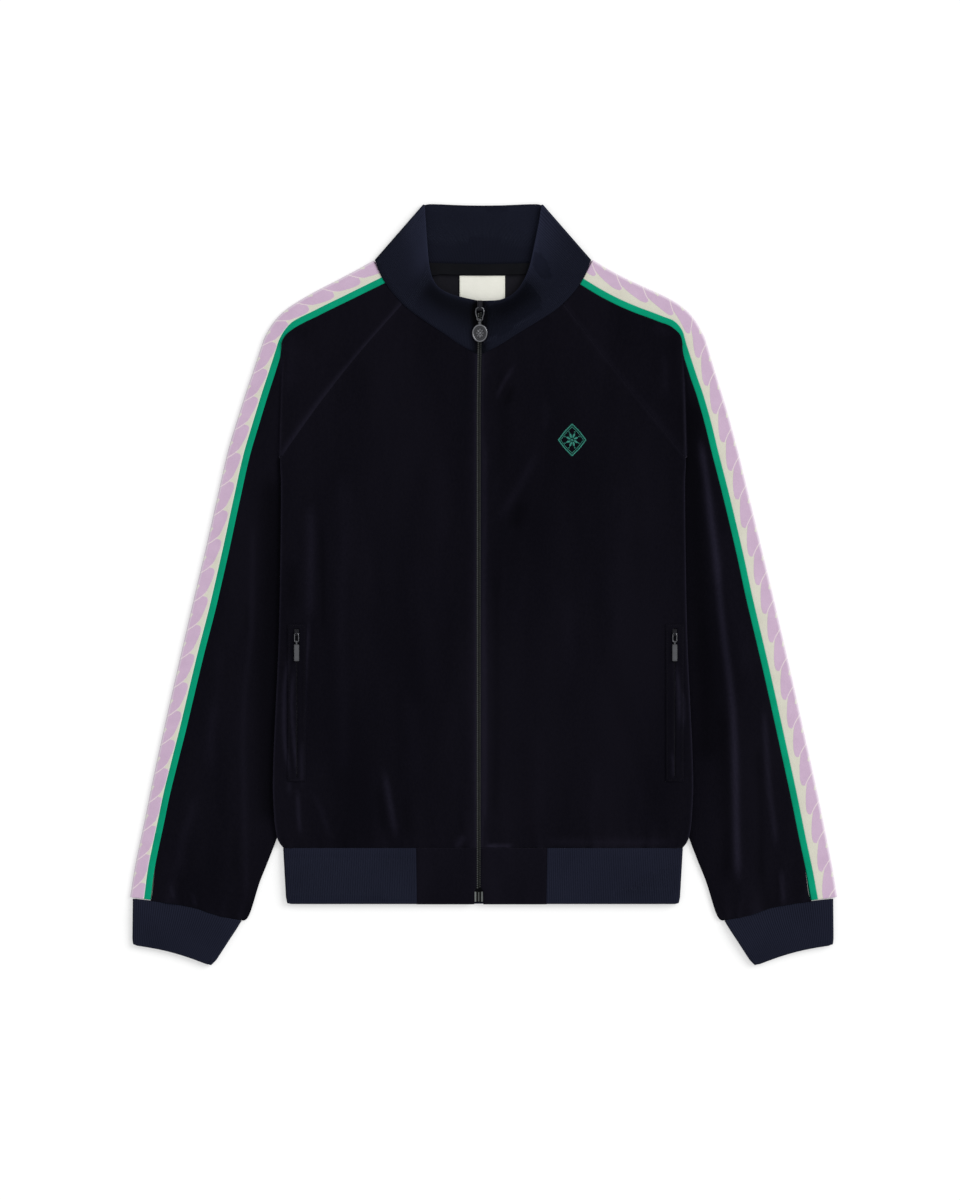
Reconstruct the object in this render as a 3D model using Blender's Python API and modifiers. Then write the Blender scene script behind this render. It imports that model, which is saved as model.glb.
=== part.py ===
"""Track jacket of velour with a rib collar, cuffs and hem, zipped up and laid flat on its back.

The tables and the functions on them are in millimetres, and the makers of meshes turn them into
metres.  +X runs to the wearer's left, +Y from the hem to the collar, and Z = 0 is the surface
that the jacket lies on.  Both sides are worked out for X > 0 and mirrored.
"""
import math

import bmesh
import bpy
from mathutils import Matrix, Vector
from mathutils.bvhtree import BVHTree

MM = 0.001

# ---- cloth --------------------------------------------------------------------------------------
VELOUR = 1.6                 # wall of a velour panel
RIB = 2.6                    # wall of the doubled hem and cuff rib
COLLAR_RIB = 3.0             # wall of the doubled collar rib
TAPE = 1.4                   # wall of the jacquard band and its trims
GAP = 0.3                    # between pieces that are sewn together or lie on each other
SEAM_ROOM = 0.35             # each side of a slanting seam
NECK_ROOM = 0.6              # below the collar seam
NECK_START = 1.5             # along the sleeve's fold, from the collar seam to the band
CUFF_ROOM = 0.9              # below the cuff seam

# ---- heights of the layers' middles above the surface -------------------------------------------
VELOUR_FLOOR = VELOUR / 2
RIB_FLOOR = RIB / 2
TAPE_FLOOR = TAPE / 2
FRONT_BASE = 5.2             # front panels over the back panel
FRONT_LIFT = 2.8             # more, where a sleeve is tucked under the body
FRONT_LOFT = 1.3             # soft air under the chest
BACK_LIFT = 4.9              # back panel where it passes over a tucked sleeve
ARM_TUCKED = 3.3             # upper half of a sleeve, under the body
ARM_OUTER = 4.8              # upper half of a sleeve, at its trim
ARM_LOFT = 1.4               # soft air in the arm
ARM_CLOSING = 0.6            # how far the upper half comes down at the underarm fold
BAND_TOP = 4.3               # upper half of the band, at its trim
BAND_FOLD = 1.3              # radius of the band's fold
HEM_TOP = 5.5                # upper half of the hem rib
CUFF_TOP = 4.7               # upper half of a cuff

# ---- the body -----------------------------------------------------------------------------------
# the closed front lies this far off the middle: (y, x)
CLOSED_FRONT = ((200, -4.8), (300, -3.6), (383, -3.6), (428, 0))
OFF_CENTRE_REACH = 115.0
ZIP_SLIT = 3.1               # from the zip's middle to a front panel's edge
HEM_SEAM = -295.7
HEM_BOTTOM = -358.4
HEM_RIB_START = 73.4         # from the zip to the seam between hem block and hem rib
HEM_STEP = 0.9               # the hem rib is this much wider than the body at the seam, each side
HEM_TAPER = 3.5              # and this much narrower at its bottom
ARMPIT = 142.0
ARMPIT_RISE = 18.0           # the back panel climbs onto the sleeve over this length

# half width of the body: (y, x)
BODY_SIDE = ((-295.7, 223.4), (-289, 228.3), (-281, 231.0), (-262, 233.4), (-225, 235.0),
             (-180, 233.8), (-130, 231.4), (-66, 228.6), (-10, 227.2), (125, 225.7), (250, 224.0),
             (287, 222.6))
# underarm fold of the sleeve, mostly tucked under the body: (y, x)
UNDERARM = ((-377, 270.5), (-326, 247.5), (-284, 230.7), (-219, 204), (-130, 170), (-63, 152),
            (4, 148), (50, 158), (80, 177), (104, 206), (118, 219.5), (130, 227.0), (142, 227.5))
# how far in the front is lifted by what is tucked under it: (y, x)
TUCK = ((-377, 292), (-300, 237), (-284, 224), (-219, 202), (-130, 170), (-63, 152), (4, 148),
        (60, 156), (142, 176), (206, 192), (245, 209), (270, 226), (285, 246), (310, 300))
TUCK_SLOPE = 30.0            # width of the front's slope up to it
BACK_SLOPE = 13.0            # width of the back's slope up onto the sleeve
BODY_EDGE = 8.0              # the front comes down to the back over this width
# places of the mesh lines up the body, as shares
BODY_ROWS = (0, 0.012, 0.03, 0.075, 0.15, 0.24, 0.34, 0.44, 0.54, 0.63, 0.71, 0.78, 0.84, 0.895,
             0.95, 1)
BACK_LOWER_ROWS = (-295.4, -288, -279, -262, -235, -200, -160, -110, -50, 10, 55, 80, 98, 112, 119,
                   126, 134)
BACK_UPPER_ROWS = (0.22, 0.46, 0.73, 1)     # above those, as shares of the way to the seam

# ---- the neck -----------------------------------------------------------------------------------
# collar seam over the fronts, from the zip to the collar's side fold: (x, y)
COLLAR_SEAM = ((3.1, 258.5), (22, 268.5), (42, 281.7), (62, 294.3), (78, 305.3), (89, 314.8),
               (108.2, 336.2), (120.4, 361.2))
# collar seam over the back: (x, y)
BACK_NECK = ((0, 347.2), (30, 347.9), (60, 348.9), (87.5, 353.1))
# top edge of the collar's front layer as it lies, from the zip to the side fold: (x, y)
COLLAR_TOP = {
    "right": ((-7.0, 317.4), (-21.5, 320.6), (-36.0, 324.6), (-48.8, 331.6), (-56.2, 341.8),
              (-60.8, 361.0), (-63.0, 388.0), (-64.6, 412.0), (-65.2, 421.0)),
    "left": ((-0.3, 317.0), (14.6, 317.5), (28.0, 321.4), (39.2, 330.4), (46.8, 342.6),
             (52.8, 358.5), (58.3, 384.0), (63.2, 409.0), (65.0, 420.6))}
# seam edge of the front layer, and the heights of both edges: (x, y, top z, seam z)
COLLAR_FOOT = (
    (3.3, 258.6, 8.6, 5.9), (22.0, 268.5, 8.5, 5.9), (42.0, 281.7, 8.2, 5.9),
    (62.0, 294.3, 7.8, 5.9), (78.0, 305.3, 7.4, 5.9), (89.0, 314.8, 7.0, 5.9),
    (108.2, 336.2, 6.3, 5.6), (117.0, 352.5, 5.7, 5.3), (119.4, 360.0, 5.5, 5.5))
# the rest, round the side fold to the middle of the back: top x, y, seam x, y, height
COLLAR_BACK = (
    (66.4, 423.4, 120.8, 362.7, 3.5), (64.2, 422.4, 118.2, 361.6, 1.5),
    (59.5, 424.9, 107.0, 360.3, 1.5), (48.0, 425.6, 87.5, 353.1, 1.5),
    (33.0, 424.9, 60.0, 348.9, 1.5), (16.5, 424.4, 30.0, 347.9, 1.5), (0.0, 424.2, 0.0, 347.2, 1.5))
COLLAR_SPANS = 4             # mesh spans from the top edge to the seam

# ---- the sleeves --------------------------------------------------------------------------------
# outer fold of the sleeve, from collar to cuff, which is the fold of the band: (x, y)
SLEEVE_FOLD = ((122.6, 365.1), (160, 345.3), (198.8, 324.8), (226.7, 306.1), (243.8, 284.5),
               (254, 257), (279.3, 164.1), (314.7, 26.9), (362.7, -174.7), (386.4, -297.9),
               (393.5, -351.7))
# sections across the upper sleeve: distance along the fold, share of the raglan seam
CAP_SECTIONS = ((0, 0.0), (50, 0.13), (95, 0.27), (118, 0.41), (140, 0.55), (163, 0.69),
                (200, 0.83), (255, 1.0))
# sections across the arm: distance along the fold, height where it ends on the underarm fold
ARM_SECTIONS = ((275, 130), (302, 105), (344, 64), (390, 14), (445, -46), (500, -104),
                (560, -160), (622, -214), (690, -276), (747, -325), (1000, -376))
RAGLAN_TOP = (89.0, 314.8)
RAGLAN_FOOT = (226.0, 141.5)
BACK_RAGLAN_TOP = (58.0, 348.4)
RAGLAN_BULGE = {"right": 7.5, "left": -1.0}      # how far the front seam bows up
BACK_RAGLAN_BULGE = 6.0
BAND_WIDTH = 44.0
# how much of the band lies on the front: (distance along the fold, width)
BAND_ON_FRONT = {
    "right": ((0, 20.5), (25, 19.2), (60, 18.3), (85, 17.6), (105, 15.8), (122, 14.4), (145, 14.9),
              (165, 16.1), (200, 16.4), (255, 17.1), (340, 17.6), (400, 18.2), (460, 18.7),
              (520, 17.4), (600, 16.7), (640, 15.6), (690, 14.1), (747, 14.0), (803, 15.2)),
    "left": ((0, 23.0), (50, 23.4), (80, 22.3), (100, 20.6), (120, 17.4), (135, 17.8), (158, 21.4),
             (190, 20.7), (220, 19.8), (255, 20.3), (290, 21.1), (340, 20.6), (400, 21.0),
             (460, 22.3), (540, 22.0), (640, 22.2), (720, 22.4), (750, 22.1), (803, 21.1))}
# how far in from the fold's line each sleeve is folded: (distance along the fold, step in)
FOLD_SHIFT = {
    "right": ((0, 2.8), (25, 3.3), (100, 3.3), (150, 3.6), (190, 2.5), (220, 0.8), (255, -0.8),
              (287, -1.9), (340, -0.3), (404, 1.4), (460, 1.8), (540, 2.5), (620, 2.9), (700, 2.3),
              (747, 0.8), (775, -0.4), (803, -1.6)),
    "left": ((0, 2.0), (30, 3.3), (70, 2.1), (100, -0.2), (122, -0.6), (150, 0.3), (190, 0.2),
             (220, -0.7), (255, -1.6), (287, -1.7), (340, -0.8), (404, -0.1), (460, 0.2),
             (540, 0.9), (620, 1.6), (700, 0.5), (747, -0.6), (775, -1.6), (803, -3.0))}
TRIM_WIDTH = 6.9
BACK_START_SKEW = 0.96       # the neck seam is higher behind, so the band starts higher there
# seam between sleeve and cuff: (x, y)
CUFF_SEAM = ((266, -377.0), (291, -372.5), (327, -361.0), (362.8, -355.2), (393.5, -351.7))
FOLD_STEP = 2.0              # half the width of the step where the cap rolls over the arm
SECTION_END = 0.12           # least share of a section beside that step

# ---- cuffs: outer x, outer y, inner x, inner y of each row --------------------------------------
CUFF_ROWS = ((391.5, -352.3, 271.5, -378.0), (391.8, -377.6, 286.5, -400.6),
             (392.0, -402.9, 304.3, -426.4))
CUFF_BOTTOM_BOW = 3.4
CUFF_SPANS = 7

# ---- front zip ----------------------------------------------------------------------------------
ZIP_TAPE = 1.0               # wall of the tape
ZIP_TAPE_OUTER = 14.0
ZIP_TAPE_SLANT = 0.45        # the tape follows the collar, whose seam rises this much outward
CHAIN_OUTER = 2.7
CHAIN = 2.2                  # thickness of the teeth
ZIP_BOTTOM = -342.5
ZIP_TOP = 315.0
ZIP_ROWS = (-341, -296, -240, -120, 0, 120, 200, 245, 257, 262, 290)    # mesh lines between
ZIP_FOOT = 2.4               # from the hem's bottom up to the ends of the tape and the bottom box
BOX_SIZE = (9.4, 11.6, 2.8)
BOX_SLIT = 5.2               # the hem blocks make room for the bottom box
SLIDER_SIZE = (6.0, 11.5, 1.2)
SLIDER_Y = 311.5
BAIL_SIZE = (2.4, 10.6, 3.4)      # width, length, height of the arch on the slider
BAIL_BAR = 0.9
LINK_WIRE = 1.4
LINK_TOP = 309.0             # where the link turns in the slider's bail
LINK_FOOT = 295.2            # where the medallion hangs on the link
LINK_OUTLINE = ((2.3, 0), (4.0, 1.2), (4.6, 4.5), (4.2, 7.5), (3.2, 10.4), (2.8, 13.2), (2.2, 13.8))
MEDALLION_SIZE = (17.2, 20.0, 2.0)
MEDALLION_Y = 280.6
MEDALLION_LUG = (2.6, 4.6, 1.4)
EYE_SIZE = (3.0, 3.5, 2.0)   # length, outer and inner diameter

# ---- pockets ------------------------------------------------------------------------------------
POCKET_X = {"right": 208.5, "left": 214.5}
POCKET_TOP = -45.0
POCKET_BOTTOM = -221.0
WELT = 1.2                   # wall of the welt
WELT_LIFT = 0.5              # over the front panel
WELT_WIDTH = 20.0
WELT_SLOT = 5.8
WELT_END = 4.5               # welt beyond the slot's ends
WELT_SPANS = 8
POCKET_ZIP_WIDTH = 5.0
POCKET_ZIP = 0.9             # its thickness
POCKET_SLIDER = (5.0, 8.0, 0.9)
POCKET_BAIL = (1.4, 6.6, 2.9)
POCKET_BAIL_BAR = 0.7
POCKET_WIRE = 1.0
POCKET_LOOP = ((1.6, 0), (2.2, 1.2), (2.2, 8.0), (1.6, 9.2))
TAB_SIZE = (5.6, 19.0, 1.7)
TAB_LUG = (1.4, 2.8, 1.1)
TAB_EYE = (1.8, 2.6, 1.6)     # length, outer and inner diameter

# ---- neck tape, label, chest embroidery ---------------------------------------------------------
NECK_TAPE = 1.0
NECK_TAPE_WIDTH = 11.0
NECK_TAPE_HALF = 62.0
LABEL = 0.8
LABEL_SIZE = (51.8, 35.0)
LABEL_TOP = 345.6
EMBLEM = 0.9
EMBLEM_AT = (99.7, 161.3)
EMBLEM_SIZE = (32.0, 37.0)

COLOURS = {                  # red, green, blue, roughness, metallic
    "velour": (0.006, 0.006, 0.012, 0.85, 0.0),
    "rib": (0.009, 0.013, 0.028, 0.80, 0.0),
    "band": (0.60, 0.45, 0.62, 0.75, 0.0),
    "green": (0.0, 0.28, 0.15, 0.70, 0.0),
    "zip_tape": (0.008, 0.008, 0.010, 0.80, 0.0),
    "zip_metal": (0.045, 0.045, 0.050, 0.35, 1.0),
    "label": (0.78, 0.79, 0.72, 0.70, 0.0),
    "emblem": (0.02, 0.24, 0.17, 0.60, 0.0),
}
SIDES = (("right", -1), ("left", 1))


# ---- reading the tables -------------------------------------------------------------------------
def step(t):
    """0 below 0, 1 above 1, and a soft rise between."""
    t = min(max(t, 0.0), 1.0)
    return t * t * (3 - 2 * t)


def between(a, b, t):
    return a + (b - a) * t


def reading(rows, at):
    """A smooth reading of a table of (place, value) rows, which never overshoots its rows."""
    if at <= rows[0][0]:
        return rows[0][1]
    if at >= rows[-1][0]:
        return rows[-1][1]
    slopes = [(b[1] - a[1]) / (b[0] - a[0]) for a, b in zip(rows, rows[1:])]
    last = len(slopes)
    i = next(k for k in range(last) if at <= rows[k + 1][0])

    def tangent(k):
        if k in (0, last):
            return slopes[min(k, last - 1)]
        product = slopes[k - 1] * slopes[k]
        return 2 * product / (slopes[k - 1] + slopes[k]) if product > 0 else 0.0

    (x0, y0), (x1, y1) = rows[i], rows[i + 1]
    width = x1 - x0
    t = (at - x0) / width
    return (y0 * (1 + 2 * t) * (1 - t) ** 2 + y1 * t * t * (3 - 2 * t)
            + width * t * (1 - t) * (tangent(i) * (1 - t) - tangent(i + 1) * t))


def smooth_line(places, steps=12):
    """Points along a smooth curve through the given places (Catmull-Rom)."""
    p = [Vector(place) for place in places]
    p = [2 * p[0] - p[1]] + p + [2 * p[-1] - p[-2]]
    line = []
    for a, b, c, d in zip(p, p[1:], p[2:], p[3:]):
        for k in range(steps):
            t = k / steps
            line.append(b + 0.5 * ((c - a) * t + (2 * a - 5 * b + 4 * c - d) * t ** 2
                                   + (3 * b - a - 3 * c + d) * t ** 3))
    return line + [p[-2]]


FOLD_LINE = smooth_line(SLEEVE_FOLD)
FOLD_LENGTH = sum((b - a).length for a, b in zip(FOLD_LINE, FOLD_LINE[1:]))


def along_fold(distance):
    """The point, the direction and the way in at a distance along the sleeve's outer fold."""
    left = min(max(distance, NECK_START), FOLD_LENGTH - NECK_ROOM)
    for a, b in zip(FOLD_LINE, FOLD_LINE[1:]):
        length = (b - a).length
        if left <= length:
            way = (b - a) / length
            return a + way * left, way, Vector((way.y, -way.x))
        left -= length


def off_centre(x, y):
    """Where a point of the front lies, since the closed front is a little off the middle."""
    return x + reading(CLOSED_FRONT, y) * (1 - step(abs(x) / OFF_CENTRE_REACH))


def seam_point(top, foot, bulge, share):
    """A point of a raglan seam, which bows up by its bulge."""
    return (between(top[0], foot[0], share),
            between(top[1], foot[1], share) + bulge * math.sin(math.pi * share))


# ---- heights of the layers ----------------------------------------------------------------------
def back_height(x, y):
    """Middle of the back panel: on the surface, and up over the tucked sleeves."""
    slope = step((abs(x) - reading(UNDERARM, y) + BACK_SLOPE + 2) / BACK_SLOPE)
    return VELOUR_FLOOR + BACK_LIFT * slope * step((ARMPIT - y) / ARMPIT_RISE)


def front_height(x, y):
    """Middle of the front layer, which is the front panels and the sleeves' caps."""
    x = abs(x)
    lift = FRONT_LIFT * step((x - reading(TUCK, y) + TUCK_SLOPE) / TUCK_SLOPE)
    room = step((y - HEM_SEAM) / 60) * step((330 - 0.45 * x - y) / 90)
    return FRONT_BASE + lift + FRONT_LOFT * math.sin(math.pi * min(x / 226, 1)) * room


def body_front_height(x, y):
    """The front layer, closed down onto the back panel along the body's side."""
    free = front_height(x, y)
    closed = back_height(x, y) + VELOUR + 2 * GAP
    inward = step((reading(BODY_SIDE, y) - abs(x)) / BODY_EDGE)
    sewn = step((ARMPIT - ARMPIT_RISE - y) / 15) * (1 - inward)
    return max(between(free, closed, sewn), closed)


def arm_height(x, y, trim_x):
    """Middle of the sleeve's upper half."""
    underarm = reading(UNDERARM, y)
    start = reading(BODY_SIDE, y) if y > ARMPIT else underarm
    if HEM_SEAM < y <= ARMPIT:
        start = max(underarm, reading(BODY_SIDE, y))
    share = min(max((x - start) / max(trim_x - start, 1), 0), 1)
    height = between(ARM_TUCKED, ARM_OUTER, step(share)) + ARM_LOFT * math.sin(math.pi * share)
    if y < ARMPIT:
        height -= ARM_CLOSING * (1 - step((x - underarm) / 6))
    return height


def sleeve_front_height(x, y, trim_x):
    """Middle of the sleeve's upper half, with the cap rolled over the arm at the body's side."""
    arm = arm_height(x, y, trim_x)
    if y < RAGLAN_FOOT[1]:
        return arm
    over = step((reading(BODY_SIDE, y) + FOLD_STEP - x) / (2 * FOLD_STEP))
    cap = between(ARM_OUTER, front_height(x, y), step((trim_x - x) / 12 + 0.2))
    return between(arm, cap, over)


# ---- making solids ------------------------------------------------------------------------------
def material(name):
    if name in bpy.data.materials:
        return bpy.data.materials[name]
    red, green, blue, roughness, metallic = COLOURS[name]
    made = bpy.data.materials.new(name)
    made.use_nodes = True
    shader = made.node_tree.nodes["Principled BSDF"]
    shader.inputs["Base Color"].default_value = (red, green, blue, 1)
    shader.inputs["Roughness"].default_value = roughness
    shader.inputs["Metallic"].default_value = metallic
    return made


def add(name, data, finish):
    """Put a mesh or a curve into the jacket's collection."""
    made = bpy.data.objects.new(name, data)
    data.materials.append(material(finish))
    JACKET.objects.link(made)
    return made


def sheet(name, rows, wall, finish, ring=False):
    """A wall of cloth about a grid of points; ring joins the two ends of each row."""
    across = len(rows[0])
    points = [Vector(p) * MM for row in rows for p in row]
    faces = []
    for r in range(len(rows) - 1):
        for c in range(across if ring else across - 1):
            d = (c + 1) % across
            faces.append((r * across + c, r * across + d, (r + 1) * across + d, (r + 1) * across + c))
    mesh = bpy.data.meshes.new(name)
    mesh.from_pydata(points, [], faces)
    made = add(name, mesh, finish)
    thickness = made.modifiers.new("wall", "SOLIDIFY")
    thickness.thickness = wall * MM
    thickness.offset = 0
    thickness.use_even_offset = True
    return made


def as_solid(made):
    """Apply an object's modifiers, or turn a curve into a closed mesh, at its place."""
    bpy.context.view_layer.update()
    mesh = bpy.data.meshes.new_from_object(
        made.evaluated_get(bpy.context.evaluated_depsgraph_get()))
    mesh.transform(made.matrix_world)
    work = bmesh.new()
    work.from_mesh(mesh)
    bmesh.ops.remove_doubles(work, verts=work.verts, dist=0.01 * MM)
    bmesh.ops.recalc_face_normals(work, faces=work.faces)
    work.to_mesh(mesh)
    work.free()
    name = made.name
    bpy.data.objects.remove(made)
    solid = bpy.data.objects.new(name, mesh)
    JACKET.objects.link(solid)
    return solid


def boolean(solid, other, how):
    """Join a solid to another, or cut it; the other one is used up."""
    cut = solid.modifiers.new(how.lower(), "BOOLEAN")
    cut.operation = how
    cut.object = other
    done = as_solid(solid)
    bpy.data.objects.remove(other)
    return done


def from_primitive(name, finish, size, at):
    """Take the primitive that was just made: its name, its finish and its size in its mesh."""
    made = bpy.context.object
    made.name = name
    made.data.transform(Matrix.Diagonal((size[0], size[1], size[2], 1 / MM)) * MM)
    made.location = Vector(at) * MM
    made.data.materials.append(material(finish))
    for home in list(made.users_collection):
        home.objects.unlink(made)
    JACKET.objects.link(made)
    return made


def trimmed(made, rounding):
    if rounding:
        edges = made.modifiers.new("edges", "BEVEL")
        edges.width = rounding * MM
        edges.segments = 1
    return as_solid(made)


def block(name, size, at, finish, rounding=0.0):
    """A box, with its edges taken off if rounding is given."""
    bpy.ops.mesh.primitive_cube_add(size=1)
    return trimmed(from_primitive(name, finish, size, at), rounding)


def disc(name, size, at, finish, sides, rounding=0.0, lie_along_x=False):
    """An oval disc, or a short round bar along X."""
    bpy.ops.mesh.primitive_cylinder_add(vertices=sides, radius=0.5, depth=1)
    made = from_primitive(name, finish, size, at)
    if lie_along_x:
        made.rotation_euler.y = math.pi / 2
    return trimmed(made, rounding)


def wire(name, places, thick, finish):
    """A closed loop of round wire through places."""
    curve = bpy.data.curves.new(name, "CURVE")
    curve.dimensions = "3D"
    curve.bevel_depth = thick / 2 * MM
    curve.bevel_resolution = 2
    line = curve.splines.new("POLY")
    line.points.add(len(places) - 1)
    for point, place in zip(line.points, places):
        point.co = (*(Vector(place) * MM), 1)
    line.use_cyclic_u = True
    return as_solid(add(name, curve, finish))


def arch(name, size, bar, at, finish):
    """A bail: an arch along Y that stands on a slider."""
    width, length, height = size
    outline = []
    for k in range(9):
        angle = math.pi * k / 8
        outline.append((length / 2 * math.cos(angle), height * math.sin(angle) ** 0.5))
    for k in range(8, -1, -1):
        angle = math.pi * k / 8
        outline.append(((length / 2 - bar) * math.cos(angle), (height - bar) * math.sin(angle) ** 0.5))
    curve = bpy.data.curves.new(name, "CURVE")
    curve.dimensions = "2D"
    curve.fill_mode = "BOTH"
    curve.extrude = width / 2 * MM
    line = curve.splines.new("POLY")
    line.points.add(len(outline) - 1)
    for point, (y, z) in zip(line.points, outline):
        point.co = (y * MM, z * MM, 0, 1)
    line.use_cyclic_u = True
    made = add(name, curve, finish)
    stand = Matrix(((0, 0, 1), (1, 0, 0), (0, 1, 0))).to_4x4()
    made.matrix_world = Matrix.Translation(Vector(at) * MM) @ stand
    return as_solid(made)


def top_of(made):
    """A function that gives the height of an object's upper surface at x and y."""
    bpy.context.view_layer.update()
    tree = BVHTree.FromObject(made, bpy.context.evaluated_depsgraph_get())

    def height(x, y):
        hit = tree.ray_cast(Vector((x * MM, y * MM, 0.1)), Vector((0, 0, -1)))[0]
        return hit.z / MM

    return height


# ---- body panels --------------------------------------------------------------------------------
def front_top(side_name, x):
    """Height of the front panel's upper edge: below the collar seam, then the raglan seam."""
    if x <= RAGLAN_TOP[0]:
        return reading(COLLAR_SEAM, x) - NECK_ROOM
    share = min((x - RAGLAN_TOP[0]) / (RAGLAN_FOOT[0] - RAGLAN_TOP[0]), 1)
    return seam_point(RAGLAN_TOP, RAGLAN_FOOT, RAGLAN_BULGE[side_name], share)[1] - SEAM_ROOM


def make_front(side_name, side):
    columns = [x for x, _ in COLLAR_SEAM if x <= RAGLAN_TOP[0]]
    columns += [between(RAGLAN_TOP[0], RAGLAN_FOOT[0], share) for _, share in CAP_SECTIONS[1:]]
    rows = []
    for up in BODY_ROWS:
        row = []
        for x_top in columns:
            y_top = front_top(side_name, x_top)
            share = (x_top - ZIP_SLIT) / (RAGLAN_FOOT[0] - ZIP_SLIT)
            y = between(HEM_SEAM + GAP, y_top, up)
            x = between(ZIP_SLIT, reading(BODY_SIDE, y), share)
            x = between(x, x_top, step(3 * up - 2)) if share < 1 else x
            row.append((off_centre(side * x, y), y, body_front_height(x, y)))
        rows.append(row)
    return sheet("front_" + side_name, rows, VELOUR, "velour")


def back_columns(y):
    """Half of the back's mesh lines across, at a height: they follow the slope onto the sleeve."""
    side = reading(BODY_SIDE, y)
    foot = min(reading(UNDERARM, y) - BACK_SLOPE - 2, side - 24)
    head = min(reading(UNDERARM, y) - 2, side - 7)
    neck = BACK_RAGLAN_TOP[0]
    columns = [0, neck / 2, neck]
    columns += [between(neck, foot, k / 4) for k in (1, 2, 3, 4)]
    return columns + [(foot + head) / 2, head, side]


def make_back():
    rows = []
    for y in BACK_LOWER_ROWS:
        rows.append([(x, y) for x in back_columns(y)])
    seam = [(x, reading(BACK_NECK, x) - NECK_ROOM) for x in (0, BACK_RAGLAN_TOP[0] / 2)]
    for _, share in CAP_SECTIONS:
        x, y = seam_point(BACK_RAGLAN_TOP, RAGLAN_FOOT, BACK_RAGLAN_BULGE, share)
        seam.append((x, y - SEAM_ROOM - NECK_ROOM * (share == 0)))
    seam[-1] = (reading(BODY_SIDE, ARMPIT), seam[-1][1])
    for up in BACK_UPPER_ROWS:
        rows.append([(between(a[0], b[0], up), between(a[1], b[1], up))
                     for a, b in zip(rows[len(BACK_LOWER_ROWS) - 1], seam)])
    grid = []
    for row in rows:
        half = [(x, y, back_height(x, y)) for x, y in row]
        grid.append([(-x, y, z) for x, y, z in half[:0:-1]] + half)
    return sheet("back", grid, VELOUR, "velour")


# ---- sleeves with their bands and trims ---------------------------------------------------------
def strip_point(side_name, distance, inset, behind):
    """A point inside the sleeve's outer fold; behind, the first section reaches the neck seam."""
    at, way, inward = along_fold(distance)
    at = at + inward * (inset + reading(FOLD_SHIFT[side_name], distance))
    if behind and distance == 0:
        at = at - way * inset * BACK_START_SKEW
    return at


def make_band(side_name, side):
    rows = []
    for distance, _ in CAP_SECTIONS + ARM_SECTIONS:
        front = reading(BAND_ON_FRONT[side_name], distance)
        rise = BAND_TOP - TAPE_FLOOR - 2 * BAND_FOLD
        row = []
        for share in (1.0, 0.55, 0.2):
            row.append((front * share, TAPE_FLOOR + 2 * BAND_FOLD + rise * share, False))
        for angle in (90, 135, 180, 225, 270):
            row.append((BAND_FOLD * (1 + math.cos(math.radians(angle))),
                        TAPE_FLOOR + BAND_FOLD * (1 + math.sin(math.radians(angle))), angle > 180))
        row += [(10.0, TAPE_FLOOR, True), (BAND_WIDTH - front, TAPE_FLOOR, True)]
        points = []
        for inset, height, behind in row:
            at = strip_point(side_name, distance, inset, behind)
            points.append((side * at.x, at.y, height))
        rows.append(points)
    return sheet("band_" + side_name, rows, TAPE, "band")


def make_trim(side_name, side, behind):
    rows = []
    for distance, _ in CAP_SECTIONS + ARM_SECTIONS:
        front = reading(BAND_ON_FRONT[side_name], distance)
        start = (BAND_WIDTH - front if behind else front) + GAP
        row = []
        for inset, height in ((start, BAND_TOP + 0.1), (start + TRIM_WIDTH, ARM_OUTER - 0.1)):
            at = strip_point(side_name, distance, inset, behind)
            row.append((side * at.x, at.y, TAPE_FLOOR if behind else height))
        rows.append(row)
    return sheet(("trim_back_" if behind else "trim_front_") + side_name, rows, TAPE, "green")


def sleeve_sections(side_name, behind):
    """Both ends of each section across a sleeve panel: at its trim, and at its inner seam."""
    top, bulge = RAGLAN_TOP, RAGLAN_BULGE[side_name]
    if behind:
        top, bulge = BACK_RAGLAN_TOP, BACK_RAGLAN_BULGE
    for distance, inner in CAP_SECTIONS + ARM_SECTIONS:
        front = reading(BAND_ON_FRONT[side_name], distance)
        inset = (BAND_WIDTH - front if behind else front) + TRIM_WIDTH + 2 * GAP
        outer_end = strip_point(side_name, distance, inset, behind)
        if (distance, inner) in CAP_SECTIONS:
            x, y = seam_point(top, RAGLAN_FOOT, bulge, inner)
            y += SEAM_ROOM if distance else -NECK_ROOM
            x += 2 * SEAM_ROOM if not distance else 0
        else:
            x, y = reading(UNDERARM, inner), inner
        yield outer_end, Vector((x, y))


def section_shares(outer_end, inner_end):
    """Places of the mesh lines across a section: two of them stand where it meets the body's side."""
    fold = reading(BODY_SIDE, (outer_end.y + inner_end.y) / 2)
    width = outer_end.x - inner_end.x
    half = FOLD_STEP / width
    meet = min(max((outer_end.x - fold) / width, SECTION_END + half), 1 - SECTION_END - half)
    before, after = meet - half, meet + half
    return [0, before / 2, before, after, between(after, 1, 1 / 3), between(after, 1, 2 / 3), 1]


def make_sleeve(side_name, side, behind):
    rows = []
    sections = list(sleeve_sections(side_name, behind))
    for outer_end, inner_end in sections:
        row = []
        for share in section_shares(outer_end, inner_end):
            at = outer_end.lerp(inner_end, share)
            if outer_end == sections[-1][0]:
                at.y = reading(CUFF_SEAM, at.x)
            height = VELOUR_FLOOR if behind else sleeve_front_height(at.x, at.y, outer_end.x)
            row.append((side * at.x, at.y, height))
        rows.append(row)
    return sheet(("sleeve_back_" if behind else "sleeve_front_") + side_name, rows, VELOUR, "velour")


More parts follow.
